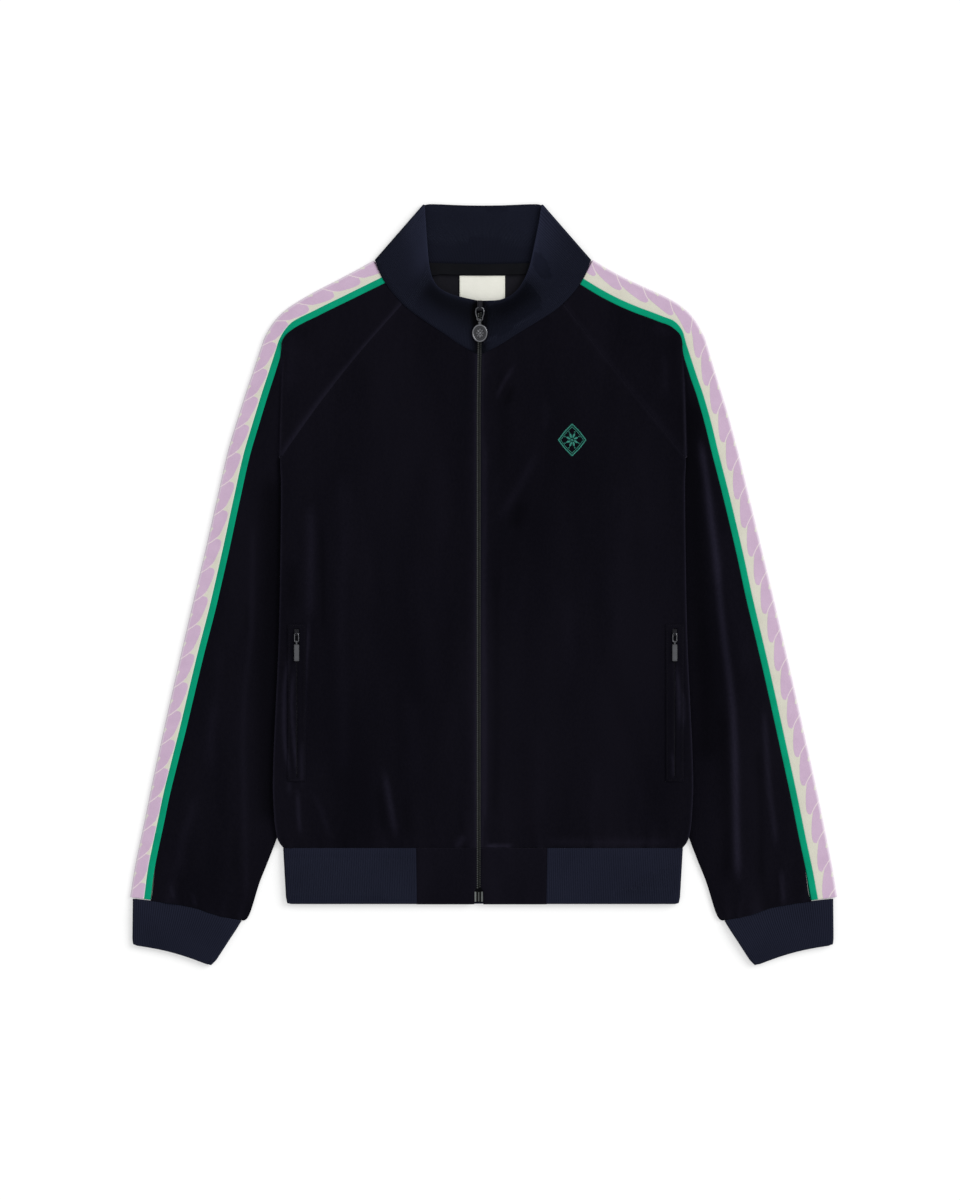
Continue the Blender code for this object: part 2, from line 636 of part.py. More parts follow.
def flat_loop(outer, inner, floor, top, spans):
    """A flattened ring of cloth between two ends in plan: over the top, and back underneath."""
    radius = (top - floor) / 2
    way = (inner - outer).normalized()
    length = (inner - outer).length
    loop = [(between(radius, length - radius, k / spans), top) for k in range(spans + 1)]
    loop.append((length, floor + radius))
    loop += [(between(length - radius, radius, k / spans), floor) for k in range(spans + 1)]
    loop.append((0, floor + radius))
    return [(outer + way * distance, height) for distance, height in loop]


def make_cuff(side_name, side):
    rows = []
    for number, (outer_x, outer_y, inner_x, inner_y) in enumerate(CUFF_ROWS):
        outer, inner = Vector((outer_x, outer_y)), Vector((inner_x, inner_y))
        row = []
        for at, height in flat_loop(outer, inner, RIB_FLOOR, CUFF_TOP, CUFF_SPANS):
            share = (outer_x - at.x) / (outer_x - inner_x)
            if number == 0:
                at.y = reading(CUFF_SEAM, at.x) - CUFF_ROOM
            if number == len(CUFF_ROWS) - 1:
                at.y += CUFF_BOTTOM_BOW * math.sin(math.pi * share)
            row.append((side * at.x, at.y, height))
        rows.append(row)
    return sheet("cuff_" + side_name, rows, RIB, "rib", ring=True)


# ---- collar and hem -----------------------------------------------------------------------------
def collar_stations(side_name, side):
    """The collar's top and seam places on one side, from the zip round to the middle of the back."""
    for (top_x, top_y), (x, y, top_z, seam_z) in zip(COLLAR_TOP[side_name], COLLAR_FOOT):
        yield Vector((top_x, top_y, top_z)), Vector((off_centre(side * x, y), y, seam_z))
    for top_x, top_y, x, y, z in COLLAR_BACK:
        yield Vector((side * top_x, top_y, z)), Vector((side * x, y, z))


def make_collar():
    right, left = [list(collar_stations(side_name, side)) for side_name, side in SIDES]
    rows = []
    for top, seam in left + right[-2::-1]:
        rows.append([top.lerp(seam, k / COLLAR_SPANS) for k in range(COLLAR_SPANS + 1)])
    return sheet("collar", rows, COLLAR_RIB, "rib")


def make_hem_rib():
    radius = (HEM_TOP - RIB_FLOOR) / 2
    rows = []
    for y in (HEM_SEAM - GAP, (HEM_SEAM + HEM_BOTTOM) / 2, HEM_BOTTOM):
        down = (HEM_SEAM - y) / (HEM_SEAM - HEM_BOTTOM)
        fold = BODY_SIDE[0][1] + HEM_STEP - RIB / 2 - HEM_TAPER * down
        flat = fold - radius
        half = [(between(HEM_RIB_START, flat, k / 4), HEM_TOP) for k in range(5)]
        half += [(flat + radius * 0.71, HEM_TOP - radius * 0.29), (fold, HEM_TOP - radius),
                 (flat + radius * 0.71, RIB_FLOOR + radius * 0.29)]
        half += [(between(flat, 0, k / 4), RIB_FLOOR) for k in range(4)]
        row = [(x, z) for x, z in half] + [(0, RIB_FLOOR)] + [(-x, z) for x, z in reversed(half)]
        rows.append([(off_centre(x, y) if z > HEM_TOP - radius else x, y, z) for x, z in row])
    return sheet("hem_rib", rows, RIB, "rib")


def make_hem_block(side_name, side):
    rows = []
    for y, slit in ((HEM_SEAM - GAP, ZIP_SLIT), (-320, ZIP_SLIT), (ZIP_BOTTOM + 3, ZIP_SLIT),
                    (ZIP_BOTTOM - 1, BOX_SLIT), (HEM_BOTTOM, BOX_SLIT)):
        row = []
        for share in (0, 0.5, 1):
            x = between(slit, HEM_RIB_START - GAP, share)
            row.append((off_centre(side * x, y), y, HEM_TOP))
        rows.append(row)
    return sheet("hem_block_" + side_name, rows, RIB, "velour")


# ---- front zip ----------------------------------------------------------------------------------
def collar_end_height(y):
    """Middle of the collar's end beside the zip."""
    _, seam_y, top_z, seam_z = COLLAR_FOOT[0]
    return between(seam_z, top_z, (y - seam_y) / (COLLAR_TOP["left"][0][1] - seam_y))


def zip_tape_height(y):
    """Middle of the zip's tape, which is sewn under hem block, front and collar."""
    if y < HEM_SEAM:
        return HEM_TOP - RIB / 2 - GAP - ZIP_TAPE / 2
    if y < COLLAR_SEAM[0][1]:
        return FRONT_BASE - VELOUR / 2 - GAP - ZIP_TAPE / 2
    return collar_end_height(y) - COLLAR_RIB / 2 - GAP - ZIP_TAPE / 2


def make_zip_tape(side_name, side):
    rows = []
    for y in (HEM_BOTTOM + ZIP_FOOT,) + ZIP_ROWS + (ZIP_TOP + 1,):
        rows.append([(off_centre(side * x, y), y, zip_tape_height(y - ZIP_TAPE_SLANT * x))
                     for x in (GAP / 2, ZIP_TAPE_OUTER)])
    return sheet("zip_tape_" + side_name, rows, ZIP_TAPE, "zip_tape")


def make_zip_chain(side_name, side):
    rows = []
    for y in ZIP_ROWS + (ZIP_TOP,):
        height = zip_tape_height(y) + ZIP_TAPE / 2 + GAP + CHAIN / 2
        rows.append([(off_centre(side * x, y), y, height) for x in (GAP / 2, CHAIN_OUTER)])
    return sheet("zip_chain_" + side_name, rows, CHAIN, "zip_metal")


def slider_with_bail(name, plate, bail, bar, at, finish):
    """A slider's plate with the arch that carries its pull."""
    body = block(name, plate, at, finish, 0.35)
    foot = at[2] + plate[2] / 2 - 0.3
    bail_part = arch("bail", bail, bar, (at[0], at[1], foot), finish)
    return boolean(body, bail_part, "UNION")


def pull_link(name, outline, thick, top, foot_rise, finish):
    """A closed wire link that turns on a bar along X at its top; outline is half of it."""
    length = outline[-1][1]
    places = [(x, -y, foot_rise * y / length) for x, y in outline]
    places += [(-x, y, z) for x, y, z in reversed(places)]
    link = wire(name, places, thick, finish)
    link.location = top * MM
    return link


def with_eye(plate, lug_size, eye_size, finish):
    """Put a lug and an eye on a plate that hangs below the eye's axis, which is the origin's X."""
    length, outer, inner = eye_size
    lug = block("lug", lug_size, (0, -outer / 2 - lug_size[1] / 2 + 0.6, 0), finish)
    eye = disc("eye", (outer, outer, length), (0, 0, 0), finish, 16, lie_along_x=True)
    hole = disc("hole", (inner, inner, length + 2), (0, 0, 0), finish, 12, lie_along_x=True)
    whole = boolean(boolean(plate, lug, "UNION"), eye, "UNION")
    return boolean(whole, hole, "DIFFERENCE")


def make_zip_slider():
    collar_top = collar_end_height(SLIDER_Y) + COLLAR_RIB / 2
    chain_top = zip_tape_height(SLIDER_Y) + ZIP_TAPE / 2 + GAP + CHAIN
    at = (off_centre(0, SLIDER_Y), SLIDER_Y, max(chain_top + GAP, collar_top - 0.4) + SLIDER_SIZE[2] / 2)
    slider_with_bail("zip_slider", SLIDER_SIZE, BAIL_SIZE, BAIL_BAR, at, "zip_metal")
    return at[2] + SLIDER_SIZE[2] / 2


def make_zip_pull(slider_top):
    """The link that turns in the slider's bail, and the medallion that hangs on the link."""
    middle_x = off_centre(0, LINK_TOP)
    slope = (collar_end_height(300) - collar_end_height(290)) / 10
    seat = collar_end_height(MEDALLION_Y) + COLLAR_RIB / 2 + GAP + MEDALLION_SIZE[2] / 2
    top = Vector((middle_x, LINK_TOP, slider_top + GAP + LINK_WIRE / 2))
    foot = Vector((middle_x, LINK_FOOT, seat + slope * (LINK_FOOT - MEDALLION_Y)))
    pull_link("zip_link", LINK_OUTLINE, LINK_WIRE, top, foot.z - top.z, "zip_metal")

    middle = (0, MEDALLION_Y - LINK_FOOT, 0)
    medallion = disc("zip_medallion", MEDALLION_SIZE, middle, "zip_metal", 32, 0.4)
    medallion = with_eye(medallion, MEDALLION_LUG, EYE_SIZE, "zip_metal")
    medallion.rotation_euler.x = math.atan(slope)
    medallion.location = foot * MM


def make_zip_box():
    y = HEM_BOTTOM + ZIP_FOOT + BOX_SIZE[1] / 2
    tape_top = zip_tape_height(y) + ZIP_TAPE / 2
    at = (off_centre(0, y), y, tape_top + GAP + BOX_SIZE[2] / 2)
    block("zip_box", BOX_SIZE, at, "zip_metal", 0.6)


# ---- pockets ------------------------------------------------------------------------------------
def make_pocket(side_name, side, panel):
    """Welt round a slot, the zip in the slot, its slider, and the pull: a wire loop and a tab."""
    height = top_of(panel)
    middle = side * POCKET_X[side_name]
    slot_top, slot_bottom = POCKET_TOP - WELT_END, POCKET_BOTTOM + WELT_END
    inner, outer = [], []
    for way, ends in ((1, (0, 1)), (-1, (1, 0))):
        for k in range(WELT_SPANS + 1):
            down = between(ends[0], ends[1], k / WELT_SPANS)
            inner.append((middle + way * WELT_SLOT / 2, between(slot_top, slot_bottom, down)))
            outer.append((middle + way * WELT_WIDTH / 2, between(POCKET_TOP, POCKET_BOTTOM, down)))
    rows = [[(x, y, height(x, y) + WELT_LIFT + WELT / 2) for x, y in edge] for edge in (inner, outer)]
    sheet("pocket_welt_" + side_name, rows, WELT, "velour", ring=True)

    rows = []
    for k in range(WELT_SPANS + 1):
        y = between(slot_top - 0.5, slot_bottom + 0.5, k / WELT_SPANS)
        z = height(middle, y) + GAP + POCKET_ZIP / 2
        rows.append([(middle - POCKET_ZIP_WIDTH / 2, y, z), (middle + POCKET_ZIP_WIDTH / 2, y, z)])
    sheet("pocket_zip_" + side_name, rows, POCKET_ZIP, "zip_tape")

    y = slot_top - 1.0 - POCKET_SLIDER[1] / 2
    plate_z = height(middle, y) + 2 * GAP + POCKET_ZIP + POCKET_SLIDER[2] / 2
    slider_with_bail("pocket_slider_" + side_name, POCKET_SLIDER, POCKET_BAIL, POCKET_BAIL_BAR,
                     (middle, y, plate_z), "zip_metal")

    top = Vector((middle, y - 1.0, plate_z + POCKET_SLIDER[2] / 2 + GAP + POCKET_WIRE / 2))
    loop_length = POCKET_LOOP[-1][1]
    foot_y = top.y - loop_length
    welt_top = height(middle, foot_y) + WELT_LIFT + WELT
    foot = Vector((middle, foot_y, welt_top + GAP + TAB_SIZE[2] / 2 + 0.2))
    loop = pull_link("pocket_loop_" + side_name, POCKET_LOOP, POCKET_WIRE, top, foot.z - top.z,
                     "zip_metal")
    middle = (0, -TAB_EYE[1] / 2 - TAB_LUG[1] / 2 - TAB_SIZE[1] / 2, 0)
    tab = block("pocket_tab_" + side_name, TAB_SIZE, middle, "zip_metal", 0.6)
    tab = with_eye(tab, TAB_LUG, TAB_EYE, "zip_metal")
    tab.parent = loop
    tab.location = (foot - top) * MM


# ---- neck tape, label, chest embroidery ---------------------------------------------------------
def make_neck_tape(collar):
    height = top_of(collar)
    rows = []
    for up in (-0.2, NECK_TAPE_WIDTH / 2, NECK_TAPE_WIDTH):
        row = []
        for k in range(9):
            x = between(-NECK_TAPE_HALF, NECK_TAPE_HALF, k / 8)
            y = reading(BACK_NECK, abs(x)) + up
            row.append((x, y, COLLAR_RIB + GAP + NECK_TAPE / 2))
        rows.append(row)
    return sheet("neck_tape", rows, NECK_TAPE, "zip_tape")


def make_label():
    width, length = LABEL_SIZE
    z = VELOUR + GAP + LABEL / 2
    rows = [[(-width / 2, y, z), (width / 2, y, z)] for y in (LABEL_TOP - length, LABEL_TOP)]
    return sheet("label", rows, LABEL, "label")


def make_emblem(panel):
    """An oval of stitching on the wearer's left chest, laid on the panel's own points."""
    height = top_of(panel)
    rows = []
    for j in range(7):
        row = []
        for i in range(7):
            a, b = i / 3 - 1, j / 3 - 1
            x = EMBLEM_AT[0] + EMBLEM_SIZE[0] / 2 * a * math.sqrt(1 - b * b / 2)
            y = EMBLEM_AT[1] + EMBLEM_SIZE[1] / 2 * b * math.sqrt(1 - a * a / 2)
            row.append((x, y, height(x, y) + GAP + EMBLEM / 2))
        rows.append(row)
    return sheet("emblem", rows, EMBLEM, "emblem")


# ---- the jacket ---------------------------------------------------------------------------------
for leftover in list(bpy.data.objects):
    bpy.data.objects.remove(leftover)
JACKET = bpy.data.collections.new("track_jacket")
bpy.context.scene.collection.children.link(JACKET)

make_back()
for SIDE_NAME, SIDE in SIDES:
    FRONT = make_front(SIDE_NAME, SIDE)
    make_band(SIDE_NAME, SIDE)
    for BEHIND in (False, True):
        make_trim(SIDE_NAME, SIDE, BEHIND)
        make_sleeve(SIDE_NAME, SIDE, BEHIND)
    make_cuff(SIDE_NAME, SIDE)
    make_hem_block(SIDE_NAME, SIDE)
    make_zip_tape(SIDE_NAME, SIDE)
    make_zip_chain(SIDE_NAME, SIDE)
    make_pocket(SIDE_NAME, SIDE, FRONT)
make_emblem(FRONT)
make_neck_tape(make_collar())
make_label()
make_hem_rib()
make_zip_box()
make_zip_pull(make_zip_slider())
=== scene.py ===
# %% [markdown]
# # A velour track jacket, laid flat
#
# The jacket is zipped up and lies on its back.  The frame brings its rigid model: one plain solid
# for each sewn piece.  This lesson puts finer cloth, stitches, zip teeth and finishes on them.
# All lengths below are in millimetres, and a maker of meshes turns them into Blender's metres.

# %% Load the frame
import math

import bmesh
import bpy
import numpy as np
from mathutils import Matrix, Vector


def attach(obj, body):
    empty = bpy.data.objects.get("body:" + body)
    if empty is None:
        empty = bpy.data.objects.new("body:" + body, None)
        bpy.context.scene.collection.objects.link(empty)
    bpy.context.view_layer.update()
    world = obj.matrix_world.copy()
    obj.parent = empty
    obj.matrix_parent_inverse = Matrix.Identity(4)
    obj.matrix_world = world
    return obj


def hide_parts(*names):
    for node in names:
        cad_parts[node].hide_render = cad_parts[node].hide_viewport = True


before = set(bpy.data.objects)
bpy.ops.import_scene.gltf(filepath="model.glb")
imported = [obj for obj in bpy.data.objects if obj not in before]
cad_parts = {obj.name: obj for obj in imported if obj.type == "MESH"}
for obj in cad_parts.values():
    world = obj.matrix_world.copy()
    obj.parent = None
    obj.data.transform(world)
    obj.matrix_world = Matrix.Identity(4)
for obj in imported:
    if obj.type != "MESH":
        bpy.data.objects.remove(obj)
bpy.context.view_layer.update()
MM = 0.001
SIDES = (("right", -1), ("left", 1))

# %% [markdown]
# ## Reading sizes off tables
#
# A pattern cutter notes a curve as a few measured points.  `reading` draws a smooth line through
# such rows and never swings past them, which a plain spline would do at a sharp corner.

# %% Smooth steps and readings of a table
def soft_step(t):
    t = np.clip(t, 0.0, 1.0)
    return t * t * (3 - 2 * t)


def mix(a, b, t):
    return a + (b - a) * t


def walked(line):
    """The distance along a line of places at each of them."""
    return np.concatenate([[0], np.cumsum(np.linalg.norm(np.diff(line, axis=0), axis=1))])


def spaced(length, pitch, edge=0.8):
    """Shares from 0 to 1, with two close steps at each end so that an edge can roll over."""
    count = max(int(round((length - 5 * edge) / pitch)), 1)
    inner = np.linspace(2.5 * edge, length - 2.5 * edge, count + 1)
    return np.concatenate([[0, edge], inner, [length - edge, length]]) / length


def reading(table, at):
    x, y = np.array(table, float).T[:2]
    slope = np.diff(y) / np.diff(x)
    product, total = slope[:-1] * slope[1:], slope[:-1] + slope[1:]
    inner = np.where(product > 0, 2 * product / np.where(total == 0, 1, total), 0)
    tangent = np.concatenate([slope[:1], inner, slope[-1:]])
    at = np.clip(np.asarray(at, float), x[0], x[-1])
    i = np.clip(np.searchsorted(x, at, side="right") - 1, 0, len(slope) - 1)
    width = x[i + 1] - x[i]
    t = (at - x[i]) / width
    return (y[i] * (1 + 2 * t) * (1 - t) ** 2 + y[i + 1] * t * t * (3 - 2 * t)
            + width * t * (1 - t) * (tangent[i] * (1 - t) - tangent[i + 1] * t))


# %% [markdown]
# ## The cut of the jacket
#
# These are the outlines of the laid-out jacket for one half, X > 0, as (y, x) or (x, y) rows.  The
# other half mirrors them, but for the few tables that name a side.  They repeat the sizes of the
# solids, so new cloth lies in its place.

# %% Walls and heights
VELOUR, RIB, COLLAR_RIB, TAPE = 1.6, 2.6, 3.0, 1.4
ZIP_TAPE, NECK_TAPE, LABEL, WELT, POCKET_TAPE = 1.0, 1.0, 0.8, 0.9, 0.4
GAP, SEAM_ROOM, NECK_ROOM, NECK_START, CUFF_ROOM = 0.3, 0.35, 0.6, 1.5, 0.9
FRONT_BASE, FRONT_LIFT, FRONT_LOFT, BACK_LIFT = 5.2, 2.8, 1.3, 4.9
ARM_TUCKED, ARM_OUTER, ARM_LOFT, ARM_CLOSING = 3.3, 4.8, 1.4, 0.6
BAND_TOP, BAND_FOLD, HEM_TOP, CUFF_TOP = 4.3, 1.3, 5.5, 4.7
SEAM_ROLL, SEAM_DROP = 2.6, 0.55   # how wide and how deep an edge turns down into its seam

# %% Lengths that grids of cloth are drawn to
FRONT_WIDTH, FRONT_LENGTH, CAP_END = 226, 600, 255
HEM_DEEP, CUFF_DEEP, COLLAR_DEEP, BLOCK_WIDTH, CUFF_WALES = 61, 50, 58, 70, 96

# %% Outlines
ZIP_SLIT, ZIP_FOOT, HEM_SEAM, HEM_BOTTOM, HEM_RIB_START = 2.6, 2.4, -295.7, -358.4, 73.4
HEM_STEP, HEM_TAPER = 0.9, 3.5
ARMPIT, ARMPIT_RISE, TUCK_SLOPE, BACK_SLOPE, BODY_EDGE, FOLD_STEP = 142.0, 18.0, 30.0, 13.0, 8.0, 2.0
BODY_SIDE = ((-295.7, 223.4), (-289, 228.3), (-281, 231.0), (-262, 233.4), (-225, 235.0),
             (-180, 233.8), (-130, 231.4), (-66, 228.6), (-10, 227.2), (115, 225.8), (134, 226.9),
             (148, 226.6), (250, 224.0), (287, 222.6))
UNDERARM = ((-377, 270.5), (-326, 247.5), (-284, 230.7), (-219, 204), (-130, 170), (-63, 152),
            (4, 148), (50, 158), (80, 177), (104, 204.5), (118, 217.5), (130, 224.2),
            (136, 226.4), (142, 227.2))
TUCK = ((-377, 292), (-300, 237), (-284, 224), (-219, 202), (-130, 170), (-63, 152), (4, 148),
        (60, 156), (142, 176), (206, 192), (245, 209), (270, 226), (285, 246), (310, 300))
COLLAR_SEAM = ((2.6, 258.5), (22, 268.5), (42, 281.7), (62, 294.3), (78, 305.3), (89, 314.8),
               (108.2, 336.2), (120.4, 361.2))
BACK_NECK = ((0, 347.2), (30, 347.9), (60, 348.9), (87.5, 353.1))
RAGLAN_TOP, RAGLAN_FOOT, BACK_RAGLAN_TOP = (89.0, 314.8), (226.0, 141.5), (58.0, 348.4)
RAGLAN_BULGE, BACK_RAGLAN_BULGE = {"right": 7.5, "left": -1.0}, 6.0
SLEEVE_FOLD = ((122.6, 365.1), (160, 345.3), (198.8, 324.8), (226.7, 306.1), (243.8, 284.5),
               (254, 257), (279.3, 164.1), (314.7, 26.9), (362.7, -174.7), (386.4, -297.9),
               (393.5, -351.7))
CAP_SECTIONS = ((0, 0.0), (50, 0.13), (95, 0.27), (118, 0.41), (140, 0.55), (163, 0.69),
                (200, 0.83), (255, 1.0))
ARM_SECTIONS = ((255, 141.5), (275, 130), (302, 105), (344, 64), (390, 14), (445, -46), (500, -104),
                (560, -160), (622, -214), (690, -276), (747, -325), (802.8, -376))
BAND_WIDTH, TRIM_WIDTH, BACK_START_SKEW = 44.0, 6.9, 0.96
BAND_ON_FRONT = {
    "right": ((0, 20.5), (25, 19.2), (60, 18.3), (85, 17.6), (105, 15.8), (122, 14.4), (145, 14.9),
              (165, 16.1), (200, 16.4), (255, 17.1), (340, 17.6), (400, 18.2), (460, 18.7),
              (520, 17.4), (600, 16.7), (640, 15.6), (690, 14.1), (747, 14.0), (803, 15.2)),
    "left": ((0, 23.0), (50, 23.4), (80, 22.3), (100, 20.6), (120, 17.4), (135, 17.8), (158, 21.4),
             (190, 20.7), (220, 19.8), (255, 20.3), (290, 21.1), (340, 20.6), (400, 21.0),
             (460, 22.3), (540, 22.0), (640, 22.2), (720, 22.4), (750, 22.1), (803, 21.1)),
}
FOLD_SHIFT = {
    "right": ((0, 2.8), (25, 3.3), (100, 3.3), (150, 3.6), (190, 2.5), (220, 0.8), (255, -0.8),
              (287, -1.9), (340, -0.3), (404, 1.4), (460, 1.8), (540, 2.5), (620, 2.9), (700, 2.3),
              (747, 0.8), (775, -0.4), (803, -1.6)),
    "left": ((0, 2.0), (30, 3.3), (70, 2.1), (100, -0.2), (122, -0.6), (150, 0.3), (190, 0.2),
             (220, -0.7), (255, -1.6), (287, -1.7), (340, -0.8), (404, -0.1), (460, 0.2),
             (540, 0.9), (620, 1.6), (700, 0.5), (747, -0.6), (775, -1.6), (803, -3.0)),
}
CAP_OVER_TRIM = ((0, 0), (110, 0), (122, 0.5), (145, 3.3), (160, 1.6), (176, 0), (900, 0))
CUFF_SEAM = ((266, -377.0), (291, -372.5), (327, -361.0), (362.8, -355.2), (393.5, -351.7))


# %% [markdown]
# The closed front lies a little off the middle, and the sleeve's outer fold is one long curve.
# Walking along the fold gives a place, and a step inwards from it, for all that follows the arm.

# %% Places on the front and along the sleeve
CLOSED_FRONT = ((200, -4.8), (300, -3.6), (383, -3.6), (428, 0))


def off_centre(x, y):
    """x moved to the side as the closed zip is, most of all beside it."""
    return x + reading(CLOSED_FRONT, y) * (1 - soft_step(abs(x) / 115))


def smooth_line(places, steps=40):
    """A fine line of places that runs smoothly through a few."""
    p = np.array(places, float)
    p = np.vstack([2 * p[0] - p[1], p, 2 * p[-1] - p[-2]])
    t = (np.arange(steps) / steps)[:, None]
    parts = [b + 0.5 * ((c - a) * t + (2 * a - 5 * b + 4 * c - d) * t ** 2
                        + (3 * b - a - 3 * c + d) * t ** 3)
             for a, b, c, d in zip(p, p[1:], p[2:], p[3:])]
    return np.vstack(parts + [p[-2:-1]])


fold_line = smooth_line(SLEEVE_FOLD)
fold_at = walked(fold_line)
fold_way = np.gradient(fold_line, fold_at, axis=0)
FOLD_LENGTH = fold_at[-1]
print(f"the sleeve's outer fold is {FOLD_LENGTH:.0f} mm long")


def places_along_fold(first, last, pitch):
    """Distances along the fold between two places on it, close together at both ends."""
    return mix(first, last, spaced(last - first, pitch))


def in_from_fold(side_name, along, inset, behind=False):
    """x and y at a distance along the fold and a step in from it."""
    x, y = (np.interp(along, fold_at, fold_line[:, k]) for k in (0, 1))
    way_x, way_y = (np.interp(along, fold_at, fold_way[:, k]) for k in (0, 1))
    back_up = inset * BACK_START_SKEW * np.clip(1 - along / 50, 0, 1) if behind else 0
    inset = inset + reading(FOLD_SHIFT[side_name], along)
    return x + way_y * inset - way_x * back_up, y - way_x * inset - way_y * back_up


def raglan(top, bulge, share):
    """Places on a raglan seam, which bulges a little between its two ends."""
    return (mix(top[0], RAGLAN_FOOT[0], share),
            mix(top[1], RAGLAN_FOOT[1], share) + bulge * np.sin(np.pi * share))


# %% [markdown]
# ## Heights of the layers
#
# Laid cloth is a stack: sleeve backs and the back panel on the surface, the tucked edges of the
# sleeves over them, then the fronts.  Each function gives the middle of one layer above the surface.

# %% Layer heights
def back_height(x, y):
    slope = soft_step((abs(x) - reading(UNDERARM, y) + BACK_SLOPE + 2) / BACK_SLOPE)
    return VELOUR / 2 + BACK_LIFT * slope * soft_step((ARMPIT - y) / ARMPIT_RISE)


def front_height(x, y):
    x = abs(x)
    lift = FRONT_LIFT * soft_step((x - reading(TUCK, y) + TUCK_SLOPE) / TUCK_SLOPE)
    room = soft_step((y - HEM_SEAM) / 60) * soft_step((330 - 0.45 * x - y) / 90)
    return FRONT_BASE + lift + FRONT_LOFT * np.sin(np.pi * np.minimum(x / FRONT_WIDTH, 1)) * room


def body_front_height(x, y):
    free, closed = front_height(x, y), back_height(x, y) + VELOUR + 2 * GAP
    inward = soft_step((reading(BODY_SIDE, y) - abs(x)) / BODY_EDGE)
    sewn = soft_step((ARMPIT - ARMPIT_RISE - y) / 15) * (1 - inward)
    return np.maximum(mix(free, closed, sewn), closed)


def sleeve_front_height(x, y, trim_x):
    side, underarm = reading(BODY_SIDE, y), reading(UNDERARM, y)
    below = soft_step((ARMPIT - y) / 5)
    start = np.where(y > HEM_SEAM, mix(side, np.maximum(underarm, side), below), underarm)
    share = np.clip((x - start) / np.maximum(trim_x - start, 1), 0, 1)
    arm = mix(ARM_TUCKED, ARM_OUTER, soft_step(share)) + ARM_LOFT * np.sin(np.pi * share)
    arm = arm - ARM_CLOSING * (1 - soft_step((x - underarm) / 6)) * below
    cap = mix(ARM_OUTER, front_height(x, y), soft_step((trim_x - x) / 12 + 0.2))
    over = soft_step((side + FOLD_STEP - x) / (2 * FOLD_STEP))
    return mix(arm, cap, over * soft_step((y - RAGLAN_FOOT[1] + 0.5) / 3))


# %% [markdown]
# ## Folds and gathers
#
# Laid velour keeps soft folds.  Their light and shade are painted into the pile's colour more than
# built as height: a painted highlight on a ridge and painted shade in a hollow.  Each row of a table
# below is one fold: half width, painted light (negative is painted shade), height, then the places
# that it runs through.
# Gathers are short ridges that start in a seam, where long velour is sewn to a tighter rib.

# %% Shapes of folds
def folds(x, y, table):
    """Height, and painted light and shade, that a table of folds gives to places on the cloth."""
    height, tone = np.zeros(x.shape), np.zeros(x.shape)
    for half, light, rise, *places in table:
        line = smooth_line(places, 6)
        run = walked(line)
        best, at = np.full(x.shape, np.inf), np.zeros(x.shape)
        for (ax, ay), (bx, by), start, stop in zip(line, line[1:], run, run[1:]):
            length = max(stop - start, 1e-6)
            share = np.clip(((x - ax) * (bx - ax) + (y - ay) * (by - ay)) / length ** 2, 0, 1)
            off = np.hypot(x - mix(ax, bx, share), y - mix(ay, by, share))
            at = np.where(off < best, start + share * length, at)
            best = np.minimum(best, off)
        taper = min(0.35 * run[-1], 30.0)
        ends = soft_step((at + 2) / taper) * soft_step((run[-1] + 2 - at) / taper)
        shape = ends * np.exp(-(best / half) ** 2)
        height, tone = height + rise * shape, tone + light * shape
    return height, tone


def gathers(place, depth, start, end, seed, pitch=19.0, height=0.7):
    """Ridges that stand on a seam: place runs along the seam, depth away from it."""
    dice = np.random.default_rng(seed)
    total, at = np.zeros_like(place), start + 6.0
    while at < end - 5:
        reach, width, lean = dice.uniform(12, 46), dice.uniform(2.2, 5.5), dice.uniform(-0.25, 0.25)
        rise = height * dice.uniform(0.25, 1.0) * dice.choice((1, 1, -0.6))
        aside = (place - at - lean * depth) / (width + 0.06 * depth)
        total += rise * np.exp(-aside ** 2 - depth / reach)
        at += pitch * dice.uniform(0.45, 1.6)
    return total


# %% [markdown]
# ## Making cloth
#
# Each piece is a fine grid of points on the middle of its layer.  Blender's Solidify modifier gives
# it both faces and an edge.  Two map coordinates in millimetres go with it, one across and one
# along the cloth, so that a weave or a rib turns with the piece.  A third number at each point holds
# the painted light and shade that lighten or darken its colour, and on some pieces a plain tone: 0 is
# plain, 1 is twice as light.

# %% From a grid to a piece of cloth
def turned_down(near, drop=SEAM_DROP, reach=SEAM_ROLL):
    """How far an edge turns down at a distance from it."""
    return drop * np.clip(1 - near / reach, 0, 1) ** 2


def rolled(share_across, width, share_along, length, drop=SEAM_DROP):
    """How far a rectangle of cloth turns down into the seams around it."""
    a, b = np.meshgrid(share_across, share_along)
    near = np.minimum(np.minimum(a, 1 - a) * width, np.minimum(b, 1 - b) * length)
    return turned_down(near, drop)


def four_corners(grid):
    """What a grid holds at the corners of each of its squares."""
    return np.stack([grid[:-1, :-1], grid[:-1, 1:], grid[1:, 1:], grid[1:, :-1]], 2)


def set_painted_light_and_tone(mesh, values):
    painted_light_and_tone = mesh.attributes.new("painted_light_and_tone", "FLOAT", "POINT")
    painted_light_and_tone.data.foreach_set("value", values.astype(np.float32).ravel())


def grid_mesh(name, x, y, z, across, along, ring=False, painted_light_and_tone=0.0):
    """A mesh from arrays in rows and columns; ring joins the last column to the first."""
    rows, columns = x.shape
    corner = np.arange(rows * columns).reshape(rows, columns)
    around = np.column_stack([corner, corner[:, :1]]) if ring else corner
    mesh = bpy.data.meshes.new(name)
    points = (np.stack([x, y, z], -1).reshape(-1, 3) * MM).tolist()
    mesh.from_pydata(points, [], four_corners(around).reshape(-1, 4).tolist())
    spots = four_corners(np.stack([across, along], -1)).astype(np.float32)
    mesh.uv_layers.new(name="cloth").data.foreach_set("uv", spots.ravel())
    set_painted_light_and_tone(mesh, painted_light_and_tone + np.zeros(x.shape))
    mesh.shade_smooth()
    return mesh


